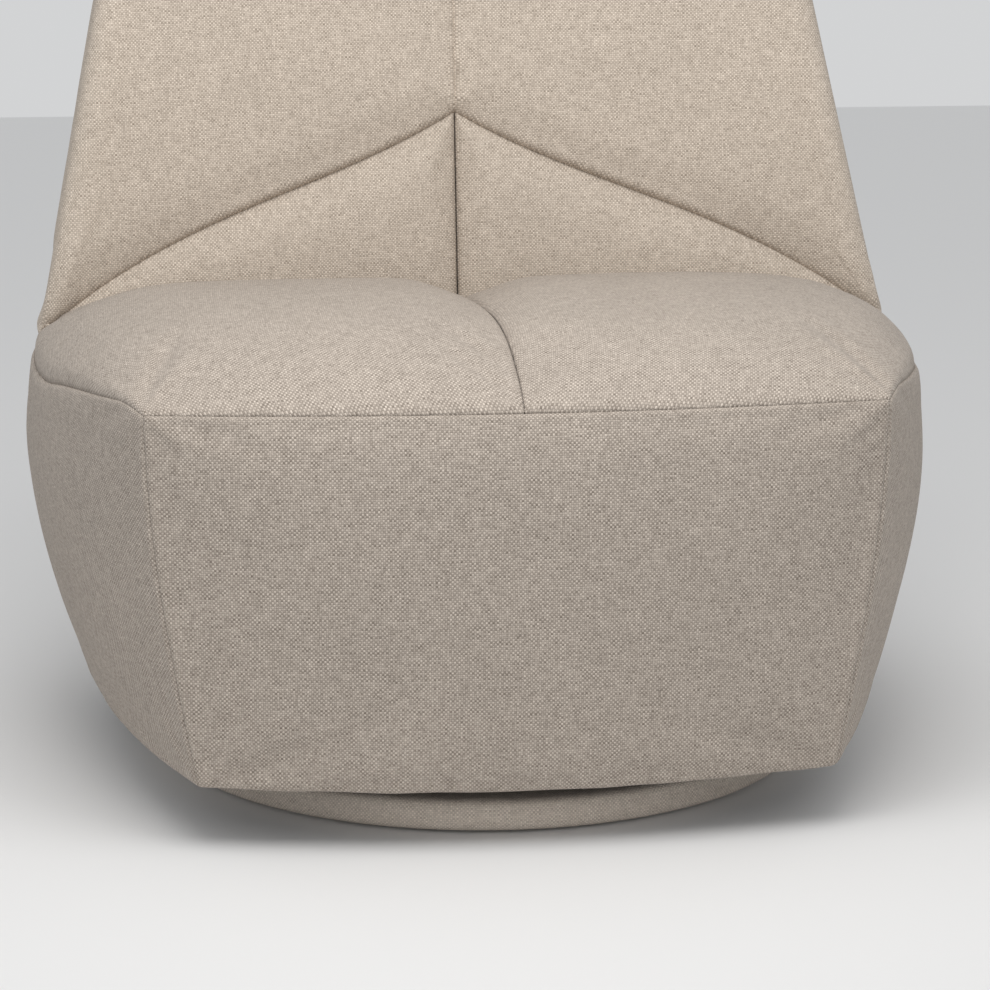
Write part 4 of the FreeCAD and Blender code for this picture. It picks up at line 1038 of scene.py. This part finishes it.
# ---------------------------------------------------------------- plastic and rubber
# Moulded nylon bushes, ball cage and spring clips, with rubber feet and stop bumpers.

moulded, given, out = effect(
    "moulded", [("Place", "Vector", None), ("Tone", "Color", (1, 1, 1, 1)), ("Matt", "Float", 0.5)],
    [("Colour", "Color"), ("Roughness", "Float"), ("Height", "Float")],
)
bloom = place(moulded, "ShaderNodeTexNoise", {"Vector": given["Place"], "Scale": 60.0, "Detail": 4.0})
stipple = place(moulded, "ShaderNodeTexNoise", {"Vector": given["Place"], "Scale": 1200.0, "Detail": 1.0})
bloom_shade = place(moulded, "ShaderNodeMapRange",
                    {"Value": bloom.outputs["Fac"], "To Min": 0.85, "To Max": 1.12})
bloomed = place(moulded, "ShaderNodeCombineColor",
                {0: bloom_shade.outputs[0], 1: bloom_shade.outputs[0], 2: bloom_shade.outputs[0]})
fill_outputs(moulded, out, {
    "Colour": blended(moulded, 1.0, given["Tone"], bloomed.outputs[0], "MULTIPLY"),
    "Roughness": sums(moulded, "ADD", given["Matt"], sums(moulded, "MULTIPLY", bloom.outputs["Fac"], 0.15)),
    "Height": stipple.outputs["Fac"],
})
nylon = solid_material("nylon", moulded, {"Tone": (0.75, 0.74, 0.70, 1), "Matt": 0.38}, {}, (0.1, 0.0002))
rubber = solid_material("rubber", moulded, {"Tone": (0.02, 0.02, 0.02, 1), "Matt": 0.7}, {}, (0.25, 0.0003))
finish_nodes(nylon, "ball_cage", "front_link_bushes", "rear_link_bushes", "rail_bushes", "spring_clips")
finish_nodes(rubber, "base_feet", "stop_bumpers")


# ---------------------------------------------------------------- studio: floor, light and camera
# A plain pale floor and a white surround, a broad soft light above the front of the seat, and a weak one
# low in front that reaches under the hem.

ground = bmesh.new()
bmesh.ops.create_grid(ground, x_segments=1, y_segments=1, size=6)
floor_mesh = bpy.data.meshes.new("studio_floor")
ground.to_mesh(floor_mesh)
ground.free()
floor = bpy.data.objects.new("studio_floor", floor_mesh)
bpy.context.scene.collection.objects.link(floor)
paper = bpy.data.materials.new("pale_paper")
paper.use_nodes = True
paper.node_tree.nodes["Principled BSDF"].inputs["Base Color"].default_value = (0.80, 0.80, 0.80, 1)
paper.node_tree.nodes["Principled BSDF"].inputs["Roughness"].default_value = 0.9
floor_mesh.materials.append(paper)

surround = bpy.data.worlds.new("surround")
bpy.context.scene.world = surround
surround.use_nodes = True
surround.node_tree.nodes["Background"].inputs["Color"].default_value = (0.98, 0.99, 1.0, 1)
surround.node_tree.nodes["Background"].inputs["Strength"].default_value = 0.66


def soft_light(name, spot, aim, size, power, colour):
    lamp = bpy.data.lights.new(name, "AREA")
    lamp.shape = "SQUARE"
    lamp.size = size
    lamp.energy = power
    lamp.color = colour
    holder = bpy.data.objects.new(name, lamp)
    bpy.context.scene.collection.objects.link(holder)
    holder.visible_camera = False
    holder.location = spot
    holder.rotation_euler = (Vector(aim) - Vector(spot)).to_track_quat("-Z", "Y").to_euler()


soft_light("overhead", (-0.1, -0.80, 1.60), (0, 0.2, 0.6), 1.1, 16.5, (1, 0.985, 0.965))
soft_light("front_low", (0.3, -3.2, 0.3), (0, 0, 0.05), 1.2, 5, (1, 0.985, 0.97))

EYE = Vector((-0.355, -3.381, 1.036))
LENS_MM, SENSOR_MM = 118.4727273, 36
AIM_RIGHT, AIM_DOWN = 0.0055248619, 0.0558624923
forwards = (Vector((0, 0, 0.45)) - EYE).normalized()
rightwards = forwards.cross(Vector((0, 0, 1))).normalized()
upwards = rightwards.cross(forwards)
aim = (forwards + rightwards * AIM_RIGHT - upwards * AIM_DOWN).normalized()
rightwards = aim.cross(Vector((0, 0, 1))).normalized()
upwards = rightwards.cross(aim)
lens = bpy.data.cameras.new("camera")
lens.sensor_width = SENSOR_MM
lens.lens = LENS_MM
camera = bpy.data.objects.new("camera", lens)
bpy.context.scene.collection.objects.link(camera)
camera.location = EYE
camera.rotation_euler = Matrix((rightwards, upwards, -aim)).transposed().to_euler()
bpy.context.scene.camera = camera
bpy.context.scene.view_settings.view_transform = "Standard"
